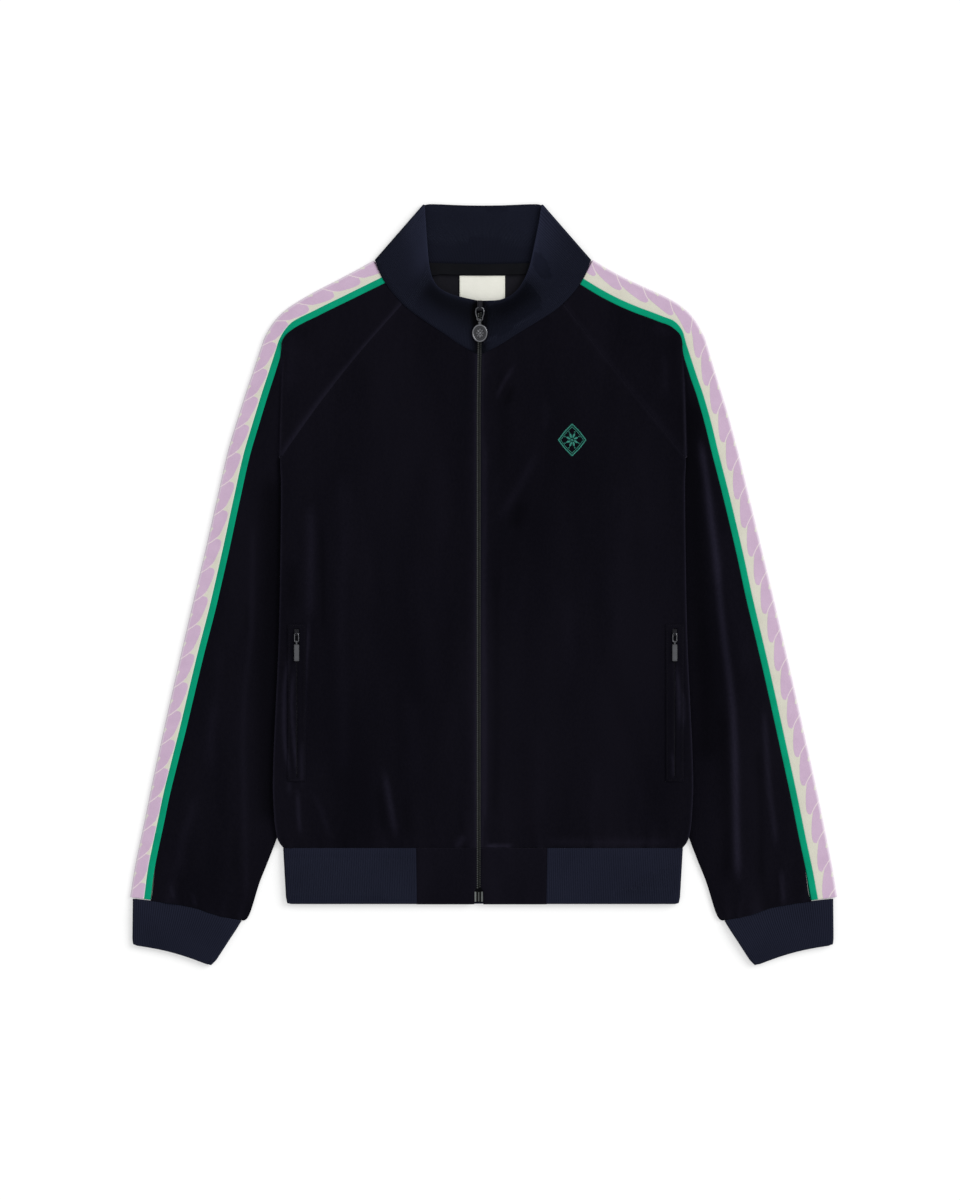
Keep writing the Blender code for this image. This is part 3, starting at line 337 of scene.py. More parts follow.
def drawn_in(x, y, corner, way, depth, reach):
    """Places near a corner on either side, drawn in a little so that the corner is round."""
    pull = depth * np.exp(-((abs(x) - corner[0]) ** 2 + (y - corner[1]) ** 2) / reach ** 2)
    return x + np.sign(x) * way[0] * pull, y + way[1] * pull


def piece(name, mesh, look, nodes=(), body="jacket"):
    """A finished mesh as a piece that rides on a body and stands for the named solids."""
    made = bpy.data.objects.new(name, mesh)
    bpy.context.scene.collection.objects.link(made)
    made.data.materials.append(look)
    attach(made, body)
    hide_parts(*nodes)
    return made


def cloth(name, x, y, z, across, along, wall, look, node, ring=False, painted_light_and_tone=0.0):
    """A grid with a wall, as the piece that stands for one solid."""
    made = piece(name, grid_mesh(name, x, y, z, across, along, ring, painted_light_and_tone), look, (node,))
    thick = made.modifiers.new("both faces", "SOLIDIFY")
    thick.thickness, thick.offset, thick.use_even_offset = wall * MM, 0, True
    return made


# %% [markdown]
# ## Finishes
#
# Every finish is built from shader nodes.  `Look` keeps that short: it adds a node, sets or links
# its inputs by name, and hands back its output.

# %% A short way to build shader nodes
class Look:
    def __init__(self, name, **sockets):
        self.material = bpy.data.materials.new(name)
        self.material.use_nodes = True
        self.nodes = self.material.node_tree.nodes
        self.shader = self.nodes["Principled BSDF"]
        self.set(self.shader, sockets)

    def set(self, node, sockets):
        for name, value in sockets.items():
            socket = node.inputs[int(name[1:]) if name[0] == "_" else name.replace("_", " ")]
            if isinstance(value, bpy.types.NodeSocket):
                self.material.node_tree.links.new(value, socket)
            else:
                socket.default_value = value

    def finish(self, colour, normal):
        self.set(self.shader, {"Base_Color": colour, "Normal": normal})
        return self.material

    def add(self, kind, out=0, settings=None, **sockets):
        node = self.nodes.new("ShaderNode" + kind)
        for key, value in (settings or {}).items():
            setattr(node, key, value)
        self.set(node, sockets)
        return node.outputs[out]

    def math(self, operation, *values):
        return self.add("Math", 0, {"operation": operation},
                        **{f"_{k}": value for k, value in enumerate(values)})

    def times(self, a, b):
        return self.math("MULTIPLY", a, b)

    def times_plus(self, a, b, c):
        return self.math("MULTIPLY_ADD", a, b, c)

    def less(self, a, b):
        return self.math("SUBTRACT", a, b)

    def size(self, a):
        return self.math("ABSOLUTE", a)

    def wave(self, place, length, shape="SINE"):
        return self.math(shape, self.times(place, 2 * math.pi / length))

    def noise(self, scale, stretch=(1, 1, 1), detail=3.0, rough=0.55):
        place = self.add("Mapping", Vector=self.add("TexCoord", "Object"), Scale=stretch)
        return self.add("TexNoise", "Fac", Vector=place, Scale=scale, Detail=detail, Roughness=rough)

    def cloth_place(self):
        split = self.nodes.new("ShaderNodeSeparateXYZ")
        self.set(split, {"Vector": self.add("UVMap", settings={"uv_map": "cloth"})})
        return split.outputs[0], split.outputs[1]

    def between(self, share, low, high):
        return self.add("MapRange", settings={"interpolation_type": "SMOOTHSTEP"}, Value=share,
                        **{"From_Min": low, "From_Max": high})

    def colour(self, share, first, second, blend="MIX"):
        """A mix of two colours; its inputs 0, 6 and 7 are the share and the pair."""
        pair = [v if isinstance(v, bpy.types.NodeSocket) else (*v, 1) for v in (first, second)]
        return self.add("Mix", 2, {"data_type": "RGBA", "blend_type": blend},
                        _0=share, _6=pair[0], _7=pair[1])

    def toned(self, tone):
        """A colour made lighter or darker by the painted light and tone stored at each point."""
        painted_light_and_tone = self.add("Attribute", "Fac", {"attribute_name": "painted_light_and_tone"})
        lighter = self.math("MAXIMUM", self.math("ADD", painted_light_and_tone, 1.0), 0.04)
        return self.add("VectorMath", 0, {"operation": "SCALE"}, Vector=tone, Scale=lighter)

    def bump(self, height, distance, strength=1.0, under=None):
        sockets = {"Height": height, "Distance": distance * MM, "Strength": strength}
        if under is not None:
            sockets["Normal"] = under
        return self.add("Bump", **sockets)


# %% [markdown]
# ### Velour
#
# Velour is a knit whose cut loops stand up as a soft pile.  Seen from above it is nearly black,
# and it turns lighter and bluer where the pile is seen from its side.  The shader's sheen layer
# does that.  Slow noise that is stretched along the nap gives the brushed, uneven tone.

# %% The velour finish
def velour_finish(name, dark, light, relief=1.0):
    look = Look(name, Roughness=0.95, Specular_IOR_Level=0.02, Sheen_Weight=0.10, Sheen_Roughness=0.4,
                Sheen_Tint=(0.75, 0.70, 1.0, 1))
    brushed = look.noise(9, (1.0, 0.28, 1.0), 4, 0.6)
    fine = look.noise(420, (1.0, 0.55, 1.0), 2)
    tone = look.times_plus(brushed, 0.75, look.times(fine, 0.25))
    tone = look.colour(look.between(tone, 0.33, 0.68), dark, light)
    pile = look.bump(look.noise(1500, detail=2), 0.35, 0.7 * relief)
    # the painted light and shade stored on the cloth lighten or darken this tone
    return look.finish(look.toned(tone), look.bump(brushed, 1.2, 0.5 * relief, pile))


VELOUR_LOOK = velour_finish("velour", (0.0022, 0.0020, 0.0038), (0.0040, 0.0036, 0.0064))
KNIT_BACK_LOOK = velour_finish("velour_reverse", (0.0072, 0.0071, 0.0096),
                               (0.0112, 0.0110, 0.0142), 0.3)


# %% [markdown]
# ### Rib knit
#
# A rib stands up in wales, which run from the seam to the free edge.  The wales are real waves in
# the mesh.  The finish paints shade into the grooves between them, over a patchy tone, and adds the
# small stitches along each one.

# %% The rib finish
WALE = 2.0


def rib_finish(name, groove, wale):
    look = Look(name, Roughness=0.9, Specular_IOR_Level=0.04, Sheen_Weight=0.05, Sheen_Roughness=0.4,
                Sheen_Tint=(0.5, 0.6, 1.0, 1))
    across, along = look.cloth_place()
    wave = look.wave(across, WALE, "COSINE")
    lean = look.times(look.size(wave), 1.8)
    stitch = look.math("SINE", look.times_plus(along, 2 * math.pi / 1.7, lean))
    height = look.times_plus(stitch, 0.25, look.times(wave, 0.6))
    # painted shade in the grooves between the wales, over a patchy random tone
    patchy_tone_and_groove_shade = look.times_plus(look.noise(14, detail=3), 0.5, look.times(wave, 0.18))
    tone = look.colour(look.between(patchy_tone_and_groove_shade, -0.15, 0.65), groove, wale)
    return look.finish(look.toned(tone), look.bump(height, 0.16, 0.7))


RIB_LOOK = rib_finish("rib", (0.0052, 0.0060, 0.0121), (0.0108, 0.0124, 0.0241))

# %% [markdown]
# ### The jacquard band
#
# The sleeve band is woven in three colours.  Its rope is the old twisted-cord border: fat lilac
# strands on a cream ground, parted by thin paler lines.  It is drawn by a rule and not from a
# picture: a saw-tooth along the band, bent across it, says which strand a thread belongs to.

# %% The band finish
ROPE_PERIOD, ROPE_HALF = 33.0, 13.9


def band_finish():
    look = Look("jacquard", Roughness=0.7, Specular_IOR_Level=0.2, Sheen_Weight=0.06,
                Sheen_Roughness=0.5)
    across, along = look.cloth_place()
    # q is the place across the rope, -1 to 1; saw climbs from 0 to 1 along each strand
    uneven = look.times_plus(look.noise(700, detail=1), 0.9, -0.45)
    q = look.math("DIVIDE", look.math("ADD", across, uneven), ROPE_HALF)
    cube = look.times(look.math("POWER", look.size(q), 3), look.times(look.math("SIGN", q), 0.16))
    bend = look.times_plus(q, 0.42, cube)
    saw = look.math("FRACT", look.less(look.math("DIVIDE", along, ROPE_PERIOD), bend))
    from_gap = look.times(look.math("MINIMUM", saw, look.less(1.0, saw)), ROPE_PERIOD)
    middle = look.less(saw, 0.56)
    edge = look.times_plus(look.times(middle, middle), -1.7, 1.05)
    inside = look.times(look.less(edge, look.size(q)), ROPE_HALF)
    strand = look.times(look.between(from_gap, 0.7, 1.05), look.between(inside, -0.15, 0.15))
    beside_gap = look.less(1.0, look.between(from_gap, 0.6, 1.0))
    in_gap = look.times(look.between(inside, -1.6, -1.2), beside_gap)
    from_heart = look.size(look.times(look.less(saw, 0.5), 22.0))
    eye = look.math("ADD", look.size(look.times(q, ROPE_HALF)), from_heart)
    notch = look.less(1.0, look.between(eye, 1.8, 2.4))
    weave = look.times(look.wave(along, 0.9), look.wave(across, 0.7))
    soft = look.noise(60, detail=3)
    lilac = look.colour(soft, (0.47, 0.335, 0.465), (0.56, 0.415, 0.55))
    cream = look.colour(soft, (0.54, 0.525, 0.445), (0.62, 0.61, 0.52))
    tone = look.colour(in_gap, cream, (0.66, 0.55, 0.60))
    tone = look.colour(strand, tone, lilac)
    tone = look.colour(notch, tone, cream)
    # the attribute says how near the trim (above 0) or the outer fold (below 0) a thread lies; the pale
    # tone at the fold is a painted highlight
    place = look.add("Attribute", "Fac", {"attribute_name": "painted_light_and_tone"})
    tone = look.colour(look.times(look.between(place, 0.35, 0.7), 0.85), tone, (0.55, 0.70, 0.61))
    at_fold = look.times(look.between(look.times(place, -1.0), 0.0, 1.0), 0.5)
    tone = look.colour(at_fold, tone, (0.70, 0.66, 0.70))
    shade = look.colour(look.between(weave, -0.9, 0.9), (0.88, 0.88, 0.88), (1.04, 1.04, 1.04))
    height = look.times_plus(strand, 1.2, look.times(weave, 0.4))
    return look.finish(look.colour(1.0, tone, shade, "MULTIPLY"), look.bump(height, 0.12, 0.7))


BAND_LOOK = band_finish()


# %% [markdown]
# ### Plain woven tapes, thread and label
#
# Grosgrain and twill show fine ribs across their length.  One function makes the green trims, the
# zip's tape, the neck tape and the label: a colour pair, the size of the weave and its relief.

# %% Woven finishes
def woven_finish(name, first, second, pitch, relief, rough=0.8, twill=0.0):
    look = Look(name, Roughness=rough, Specular_IOR_Level=0.05, Sheen_Weight=0.0)
    across, along = look.cloth_place()
    ribs = look.wave(look.times_plus(across, twill, along), pitch)
    weave = look.times_plus(look.wave(across, 0.8 * pitch), 0.35, ribs)
    tone = look.times_plus(look.noise(40, detail=3), 0.8, look.times(weave, 0.2))
    tone = look.colour(look.between(tone, 0.0, 0.8), first, second)
    return look.finish(tone, look.bump(weave, relief, 0.8))


GREEN_LOOK = woven_finish("green_trim", (0.0, 0.22, 0.118), (0.001, 0.30, 0.165), 1.1, 0.10)
ZIP_TAPE_LOOK = woven_finish("zip_tape", (0.002, 0.002, 0.003), (0.005, 0.005, 0.007), 0.8, 0.08)
NECK_TAPE_LOOK = woven_finish("neck_tape", (0.0026, 0.0028, 0.0038), (0.0052, 0.0055, 0.0074), 1.3,
                              0.08, twill=0.9)
LABEL_LOOK = woven_finish("label", (0.68, 0.68, 0.61), (0.78, 0.775, 0.705), 0.5, 0.05, rough=0.6)


# %% [markdown]
# ### Metal and thread
#
# The zip is plated a dark gunmetal: a metal with a dull, slightly uneven polish.  Thread is made of
# fine strands.  It shines in the embroidery and on the label, and is dull along the pockets.

# %% Metal and thread finishes
def metal_finish(name, tone, rough):
    look = Look(name, Metallic=1.0)
    wear_and_painted_highlight = look.noise(260, detail=4)
    plated = look.colour(wear_and_painted_highlight, [0.8 * v for v in tone], [1.2 * v for v in tone])
    look.set(look.shader, {"Roughness": look.times_plus(wear_and_painted_highlight, 0.22, rough)})
    # painted highlights stored on the zip teeth and the box lighten the plating
    return look.finish(look.toned(plated), look.bump(look.noise(900, detail=2), 0.03, 0.4))


def thread_finish(name, first, second, shine=0.35):
    look = Look(name, Roughness=0.9 - shine, Specular_IOR_Level=shine, Sheen_Weight=0.3 * shine)
    strands = look.noise(2600, (1.0, 1.0, 1.0), 2)
    tone = look.colour(look.between(strands, 0.35, 0.65), first, second)
    return look.finish(tone, look.bump(strands, 0.05, 0.8))


GUNMETAL = metal_finish("gunmetal", (0.022, 0.022, 0.026), 0.26)
GUNMETAL_PULL = metal_finish("gunmetal_pull", (0.105, 0.107, 0.116), 0.20)
CHAIN_METAL = metal_finish("zip_teeth_metal", (0.0090, 0.0096, 0.0094), 0.34)
NAVY_THREAD = thread_finish("navy_thread", (0.0022, 0.0021, 0.0040), (0.0042, 0.0040, 0.0068), 0.1)
TEAL_THREAD = thread_finish("teal_thread", (0.010, 0.16, 0.12), (0.030, 0.28, 0.21))
CREAM_THREAD = thread_finish("cream_thread", (0.55, 0.55, 0.48), (0.70, 0.70, 0.62))

# %% [markdown]
# ## The fronts
#
# Each front is cut straight along the zip, curved to the collar and along the raglan seam, and
# shows the long soft folds of velour that has been laid by hand.

# %% Folds of the fronts: half width, painted light and shade, height, places
FRONT_FOLDS = {
    "right": (
        (5.6, 0.9, 0.8, (-194, 94), (-193, 49), (-194, -18), (-195, -46)),
        (2.0, 1.3, 0.4, (-195, -35), (-196, -63), (-198, -91), (-200, -130), (-202, -208)),
        (9.0, -0.3, 0.0, (-213, 32), (-214, -7), (-215, -35)),
        (3.4, -0.25, 0.0, (-180, 72), (-179, 4), (-178, -63)),
        (7.8, 0.3, 0.3, (-157, 128), (-156, 49), (-158, -40), (-156, -152), (-158, -220)),
        (3.6, 1.5, 0.9, (-112, -203), (-106, -236), (-101, -264), (-96, -289)),
        (5.6, -0.35, 0.0, (-119, -220), (-114, -253), (-111, -287)),
        (6.7, -0.2, 0.0, (-87, -231), (-82, -287)),
        (2.5, 1.2, 0.5, (-208, -226), (-207, -248), (-206, -267), (-204, -284)),
        (3.4, 0.45, 0.4, (-193, -228), (-183, -251), (-169, -289)),
        (2.8, 0.6, 0.2, (-217, -217), (-217, -235)),
        (9.0, 0.25, 0.2, (-80, -119), (-76, -175), (-73, -231)),
        (3.4, 1.2, 0.5, (-27, -295), (-21, -288), (-15, -282)),
        (14.0, 0.1, 0.4, (-64, 30), (-62, -130)), (10.0, 0.1, 0.3, (-42, 150), (-46, -60)),
    ),
    "left": (
        (2.2, 0.9, 0.5, (40, 246), (30, 231), (22, 215), (19, 204)),
        (4.5, -0.35, 0.0, (37, 223), (31, 200)),
        (4.5, 0.3, 0.2, (71, 208), (72, 189), (71, 170)),
        (5.0, 0.55, 0.6, (65, 152), (53, 128), (41, 105), (30, 86), (19, 67)),
        (7.8, -0.3, 0.0, (48, 94), (37, 60)),
        (6.7, -0.2, 0.0, (25, 251), (28, 172), (22, 116)),
        (2.2, 0.7, 0.2, (7, 172), (7, 72), (6, -18), (7, -130), (7, -276)),
        (4.5, -0.2, 0.0, (19, 27), (20, -130), (18, -264)),
        (9.0, 0.15, 0.2, (97, -7), (97, -130)),
        (1.8, 0.8, 0.3, (8, -291), (20, -297)),
        (5.0, 0.5, 0.2, (66, -289), (140, -290), (219, -289)), (1.2, 1.8, 0.2, (6, -294), (38, -293.8)),
        (14.0, 0.1, 0.4, (150, 120), (146, -90)), (8.0, 0.1, 0.4, (60, -150), (66, -285)),
        (6.0, 0.15, 0.5, (176, -215), (170, -288)), (7.0, 0.15, 0.5, (128, -190), (120, -288)),
    ),
}
# painted highlights along the soft folds of the pocket welts: half width, painted light, height, places
POCKET_FOLDS = {
    "right": (
        (2.4, 1.6, 0.3, (-216, -74), (-221, -105), (-222.5, -130), (-222, -175), (-216, -219)),
        (2.0, 1.5, 0.3, (-211.5, -90), (-214, -125), (-213.5, -152), (-211, -185), (-208, -214)),
        (2.2, 0.9, 0.2, (-202.5, -172), (-203, -200), (-202.5, -231)),
    ),
    "left": (
        (2.6, 1.5, 0.3, (215, -85), (218, -112), (219.5, -140), (219, -165)),
        (1.8, 1.2, 0.2, (223.5, -118), (225, -140), (224, -164)),
        (1.8, 1.2, 0.2, (211, -186), (212.5, -202), (212, -218)),
    ),
}


def front_relief(side_name, side, x, y):
    """Height, and painted light and shade, that folds and gathers add to a front."""
    height, tone = folds(side * x, y, FRONT_FOLDS[side_name] + POCKET_FOLDS[side_name])
    puckers = gathers(side * x, np.maximum(y - HEM_SEAM, 0), -222, 222, 11, 17, 0.75)
    puckers = puckers + gathers(y, np.maximum(x - 6, 0) * 2.4, -290, 250, 5, 30, 0.22)
    room = soft_step((reading(BODY_SIDE, y) - x) / 10) * (0.35 + 0.65 * soft_step((x - 5) / 8))
    return (height + puckers) * room, tone + 0.45 * puckers


def painted_edge_highlight(distance, width):
    """A painted highlight in a line along a turned edge, where the standing pile would catch the light.
    """
    return np.exp(-(np.maximum(distance, 0) / width) ** 2)


# %% Sew the fronts
def front_top(side_name, x):
    share = np.clip((x - RAGLAN_TOP[0]) / (RAGLAN_FOOT[0] - RAGLAN_TOP[0]), 0, 1)
    seam = raglan(RAGLAN_TOP, RAGLAN_BULGE[side_name], share)[1] - SEAM_ROOM
    collar = reading(COLLAR_SEAM, np.minimum(x, RAGLAN_TOP[0])) - NECK_ROOM
    return np.where(x <= RAGLAN_TOP[0], collar, seam)


def sew_front(side_name, side):
    across, up = spaced(FRONT_WIDTH, 1.7), spaced(FRONT_LENGTH, 4.5)
    share, rise = np.meshgrid(across, up)
    x_top = mix(ZIP_SLIT, RAGLAN_FOOT[0], share)
    top = front_top(side_name, x_top)
    y = mix(HEM_SEAM + GAP, top, rise)
    x = mix(ZIP_SLIT, reading(BODY_SIDE, y), share)
    x = np.where(share < 1, mix(x, x_top, soft_step(3 * rise - 2)), x)
    height, painted_light_and_tone = front_relief(side_name, side, x, y)
    z = body_front_height(x, y) + height - rolled(across, FRONT_WIDTH, up, FRONT_LENGTH)
    # painted highlights: along the side fold, beside the zip and along the raglan seam
    painted_light_and_tone = painted_light_and_tone + 1.8 * painted_edge_highlight(reading(BODY_SIDE, y) - x, 1.3) * soft_step((ARMPIT + 4 - y) / 12)
    painted_light_and_tone = painted_light_and_tone + 0.5 * painted_edge_highlight(x - ZIP_SLIT, 8) + 1.0 * painted_edge_highlight(x - ZIP_SLIT, 2)
    painted_light_and_tone = painted_light_and_tone + 0.2 * painted_edge_highlight(top - y, 2.5) * (x > RAGLAN_TOP[0])
    x = off_centre(side * x, y)
    made = cloth("velour_front_" + side_name, x, y, z, x, y, VELOUR, VELOUR_LOOK,
                 "front_" + side_name, painted_light_and_tone=painted_light_and_tone)
    return made


FRONTS = {side_name: sew_front(side_name, side) for side_name, side in SIDES}
print("each front has", len(FRONTS["left"].data.vertices), "points")

# %% [markdown]
# ## The back
#
# The back lies on the surface and climbs onto the two tucked sleeves.  Its columns follow that
# slope, so the step is drawn cleanly, and above the armpits they fan out to the raglan seam.  Its
# inner face, seen through the neck, is the flat grey-blue reverse of the knit, without any pile.

# %% Sew the back
BACK_FAN, BACK_COLUMNS, NECK_COLUMNS = 134.0, 29, 7


def back_columns(y):
    side, underarm = reading(BODY_SIDE, y), reading(UNDERARM, y)
    foot = np.minimum(underarm - BACK_SLOPE - 2, side - 24)
    head = np.minimum(underarm - 2, side - 7)
    knots = np.stack([0 * y, 0 * y + BACK_RAGLAN_TOP[0], foot, head, side], -1)
    return np.stack([np.interp(np.linspace(0, 4, BACK_COLUMNS), np.arange(5), row) for row in knots])


def sew_back():
    y = np.concatenate([[HEM_SEAM + GAP], np.linspace(-293, BACK_FAN, 70)])
    x = back_columns(y)
    y = np.repeat(y[:, None], BACK_COLUMNS, 1)
    column = np.arange(BACK_COLUMNS)
    share = np.clip((column - NECK_COLUMNS) / (BACK_COLUMNS - 1 - NECK_COLUMNS), 0, 1)
    seam_x, seam_y = raglan(BACK_RAGLAN_TOP, BACK_RAGLAN_BULGE, share)
    neck = column < NECK_COLUMNS
    seam_x = np.where(neck, np.linspace(0, 4, BACK_COLUMNS) * BACK_RAGLAN_TOP[0], seam_x)
    seam_y = seam_y - SEAM_ROOM - NECK_ROOM * (share == 0)
    seam_y = np.where(neck, reading(BACK_NECK, seam_x) - NECK_ROOM, seam_y)
    seam_x[-1] = reading(BODY_SIDE, ARMPIT)
    up = spaced(200, 8)[1:, None]
    x, y = np.vstack([x, mix(x[-1], seam_x, up)]), np.vstack([y, mix(y[-1], seam_y, up)])
    x, y = np.hstack([-x[:, :0:-1], x]), np.hstack([y[:, :0:-1], y])
    z = back_height(x, y)
    made = cloth("velour_back", x, y, z, x, y, VELOUR, KNIT_BACK_LOOK, "back")
    made.data.materials.append(VELOUR_LOOK)
    made.modifiers["both faces"].material_offset = 1
    made.modifiers["both faces"].material_offset_rim = 1


sew_back()


# %% [markdown]
# ## The sleeves
#
# A raglan sleeve runs from the neck seam to the cuff, and the band down its outer fold parts it
# into a front and a back.  Each row of the grid crosses the sleeve from the green trim to the
# raglan seam, or further down to the fold under the arm, which is mostly tucked under the body.

# %% Folds of the sleeves: half width, painted light and shade, height, places
SLEEVE_FOLDS = {
    "right": (
        # a painted shadow along the sleeve, where the body's side lies over it
        (14.6, -0.45, 0.0, (-236, 128), (-237, 27), (-241, -63), (-243, -152), (-241, -242),
         (-236, -276)),
        (3.4, 0.35, 0.5, (-258, 72), (-259, -7), (-261, -63), (-268, -130), (-269, -197), (-267, -276),
         (-265, -360)),
        (6.7, 0.3, 0.5, (-304, -119), (-305, -175), (-308, -220)),
        (5.6, 0.45, 0.6, (-321, -231), (-328, -259), (-338, -292), (-342, -332)),
        (4.5, 0.2, 0.4, (-296, -63), (-297, -119), (-311, -197)),
        (3.4, -0.2, 0.0, (-263, -18), (-265, -63)), (4.5, -0.2, 0.0, (-277, -264), (-278, -343)),
        (2.4, 0.8, 0.3, (-350, -338), (-346, -351)), (2.4, 0.8, 0.3, (-325, -348), (-322, -360)),
        (6.0, 0.1, 0.7, (-262, 190), (-276, 40)), (7.0, 0.1, 0.6, (-292, 80), (-312, -60)),
        (11.2, 0.35, 0.3, (-218, 284), (-216, 206)),
    ),
    "left": (
        # a painted shadow along the sleeve, where the body's side lies over it
        (14.6, -0.45, 0.0, (234, 217), (236, 116), (240, 27), (245, -63), (250, -152), (251, -208)),
        (7.8, -0.3, 0.0, (268, -130), (273, -242), (273, -343)),
        (3.8, 2.2, 0.9, (242, 167), (250, 116), (255, 72), (261, 27), (265, -18), (270, -63), (276, -108),
         (280, -152), (282, -197), (283, -242), (284, -287), (286, -337)),
        (6.7, 0.8, 0.0, (250, 116), (259, 49), (264, -7)),
        (2.9, 1.2, 0.7, (314, -136), (317, -180), (320, -225), (325, -264), (329, -301)),
        (4.5, -0.25, 0.0, (308, -175), (312, -264), (312, -343)),
        (2.5, 1.3, 0.6, (334, -318), (335, -337), (337, -361)),
        (11.2, 0.3, 0.2, (271, 72), (282, -18), (297, -108)),
        (4.5, 0.4, 0.3, (203, 262), (204, 206)), (6.7, 0.3, 0.2, (187, 290), (215, 276)),
    ),
}


# %% Sew the sleeves
def sleeve_inner_end(side_name, along, behind):
    top, bulge = RAGLAN_TOP, RAGLAN_BULGE[side_name]
    if behind:
        top, bulge = BACK_RAGLAN_TOP, BACK_RAGLAN_BULGE
    seam_x, seam_y = raglan(top, bulge, reading(CAP_SECTIONS, along))
    start = np.clip(1 - (along - NECK_START) / 12, 0, 1)
    seam_x, seam_y = seam_x + 2 * SEAM_ROOM * start, seam_y + mix(SEAM_ROOM, -NECK_ROOM, start)
    under_y = reading(ARM_SECTIONS, along)
    on_arm = along > CAP_END
    return np.where(on_arm, reading(UNDERARM, under_y), seam_x), np.where(on_arm, under_y, seam_y)


def section_shares(outer, inner, pitch):
    """Shares across every row, drawn together at the step where the cap rolls over the arm."""
    side = reading(BODY_SIDE, (outer[1] + inner[1]) / 2)
    width = outer[0] - inner[0]
    half = FOLD_STEP / width
    meet = np.clip((outer[0] - side) / width, 0.3, 0.88 - half)
    knots = np.stack([0 * meet, meet - 1.6 * half, meet + 1.6 * half, 0 * meet + 1], -1)
    part = spaced(1, pitch, 0.01)
    places = np.concatenate([part, 1 + np.linspace(0, 1, 7)[1:-1], 2 + part])
    return np.stack([np.interp(places, np.arange(4), row) for row in knots])


def sew_sleeve(side_name, side, behind):
    end = FOLD_LENGTH - NECK_ROOM
    on_cap = places_along_fold(NECK_START, CAP_END, 4.4)
    along = np.concatenate([on_cap, places_along_fold(CAP_END, end, 4.4)[1:]])
    front = reading(BAND_ON_FRONT[side_name], along)
    inset = (BAND_WIDTH - front if behind else front) + TRIM_WIDTH + 2 * GAP
    if not behind:
        inset = inset - reading(CAP_OVER_TRIM, along)
    outer = in_from_fold(side_name, along, inset, behind)
    inner = sleeve_inner_end(side_name, along, behind)
    share = section_shares(outer, inner, 0.1 if behind else 0.033)
    x = mix(outer[0][:, None], inner[0][:, None], share)
    y = mix(outer[1][:, None], inner[1][:, None], share)
    onto_cuff = soft_step((along - end + 60) / 60)[:, None] ** 2
    y = mix(y, reading(CUFF_SEAM, x), onto_cuff)
    width = (outer[0] - inner[0])[:, None]
    trim_x = outer[0][:, None] + 0 * x
    if behind:
        z, painted_light_and_tone = np.full_like(x, VELOUR / 2), 0.0
    else:
        relief, painted_light_and_tone = folds(side * x, y, SLEEVE_FOLDS[side_name])
        puckers = gathers(x, np.maximum(y - reading(CUFF_SEAM, x), 0), 268, 366, 23 + side, 12, 1.0)
        # painted light on the ridges of the gathers and painted shade between them
        relief, painted_light_and_tone = relief + puckers, painted_light_and_tone + 0.45 * puckers
        # painted highlights: a line where the cap rolls over the arm, and one beside the raglan seam,
        # stronger on the right sleeve
        rolls_over = np.exp(-((x - reading(BODY_SIDE, y)) / 1.4) ** 2)
        painted_light_and_tone = painted_light_and_tone + 1.5 * rolls_over * soft_step((y - ARMPIT + 4) / 10) * soft_step((295 - y) / 60)
        beside_seam = painted_edge_highlight((1 - share) * width, 2.6) * (along < CAP_END)[:, None]
        painted_light_and_tone = painted_light_and_tone + (1.3 if side_name == "right" else 0.45) * beside_seam
        free = soft_step(share * width / 9) * soft_step((1 - share) * width / 12)
        covered = soft_step((x - reading(BODY_SIDE, y) - 1) / 6)
        covered = mix(covered, 1.0, soft_step((y - ARMPIT + 7) / 5))
        near_end = np.minimum(along - NECK_START, end - along)[:, None]
        near = np.minimum(np.minimum(share, 1 - share) * width, near_end)
        z = sleeve_front_height(x, y, trim_x) + (relief * free - turned_down(near)) * covered
        onto_trim = soft_step(reading(CAP_OVER_TRIM, along) / 2)[:, None]
        z = z + 1.6 * onto_trim * soft_step((10 - share * width) / 8)
    node = ("sleeve_back_" if behind else "sleeve_front_") + side_name
    made = cloth("velour_" + node, side * x, y, z, side * share * width, along[:, None] + 0 * x,
                 VELOUR, VELOUR_LOOK, node, painted_light_and_tone=painted_light_and_tone)
    return made


for SIDE_NAME, SIDE in SIDES:
    for BEHIND in (True, False):
        SLEEVE = sew_sleeve(SIDE_NAME, SIDE, BEHIND)
print("sleeves sewn, the last with", len(SLEEVE.data.vertices), "points")


# %% [markdown]
# ## Bands and green trims
#
# The band wraps round the sleeve's outer fold, so its grid starts on the front, turns through a
# half circle and ends on the surface underneath.  A narrow trim lies along each of its edges.

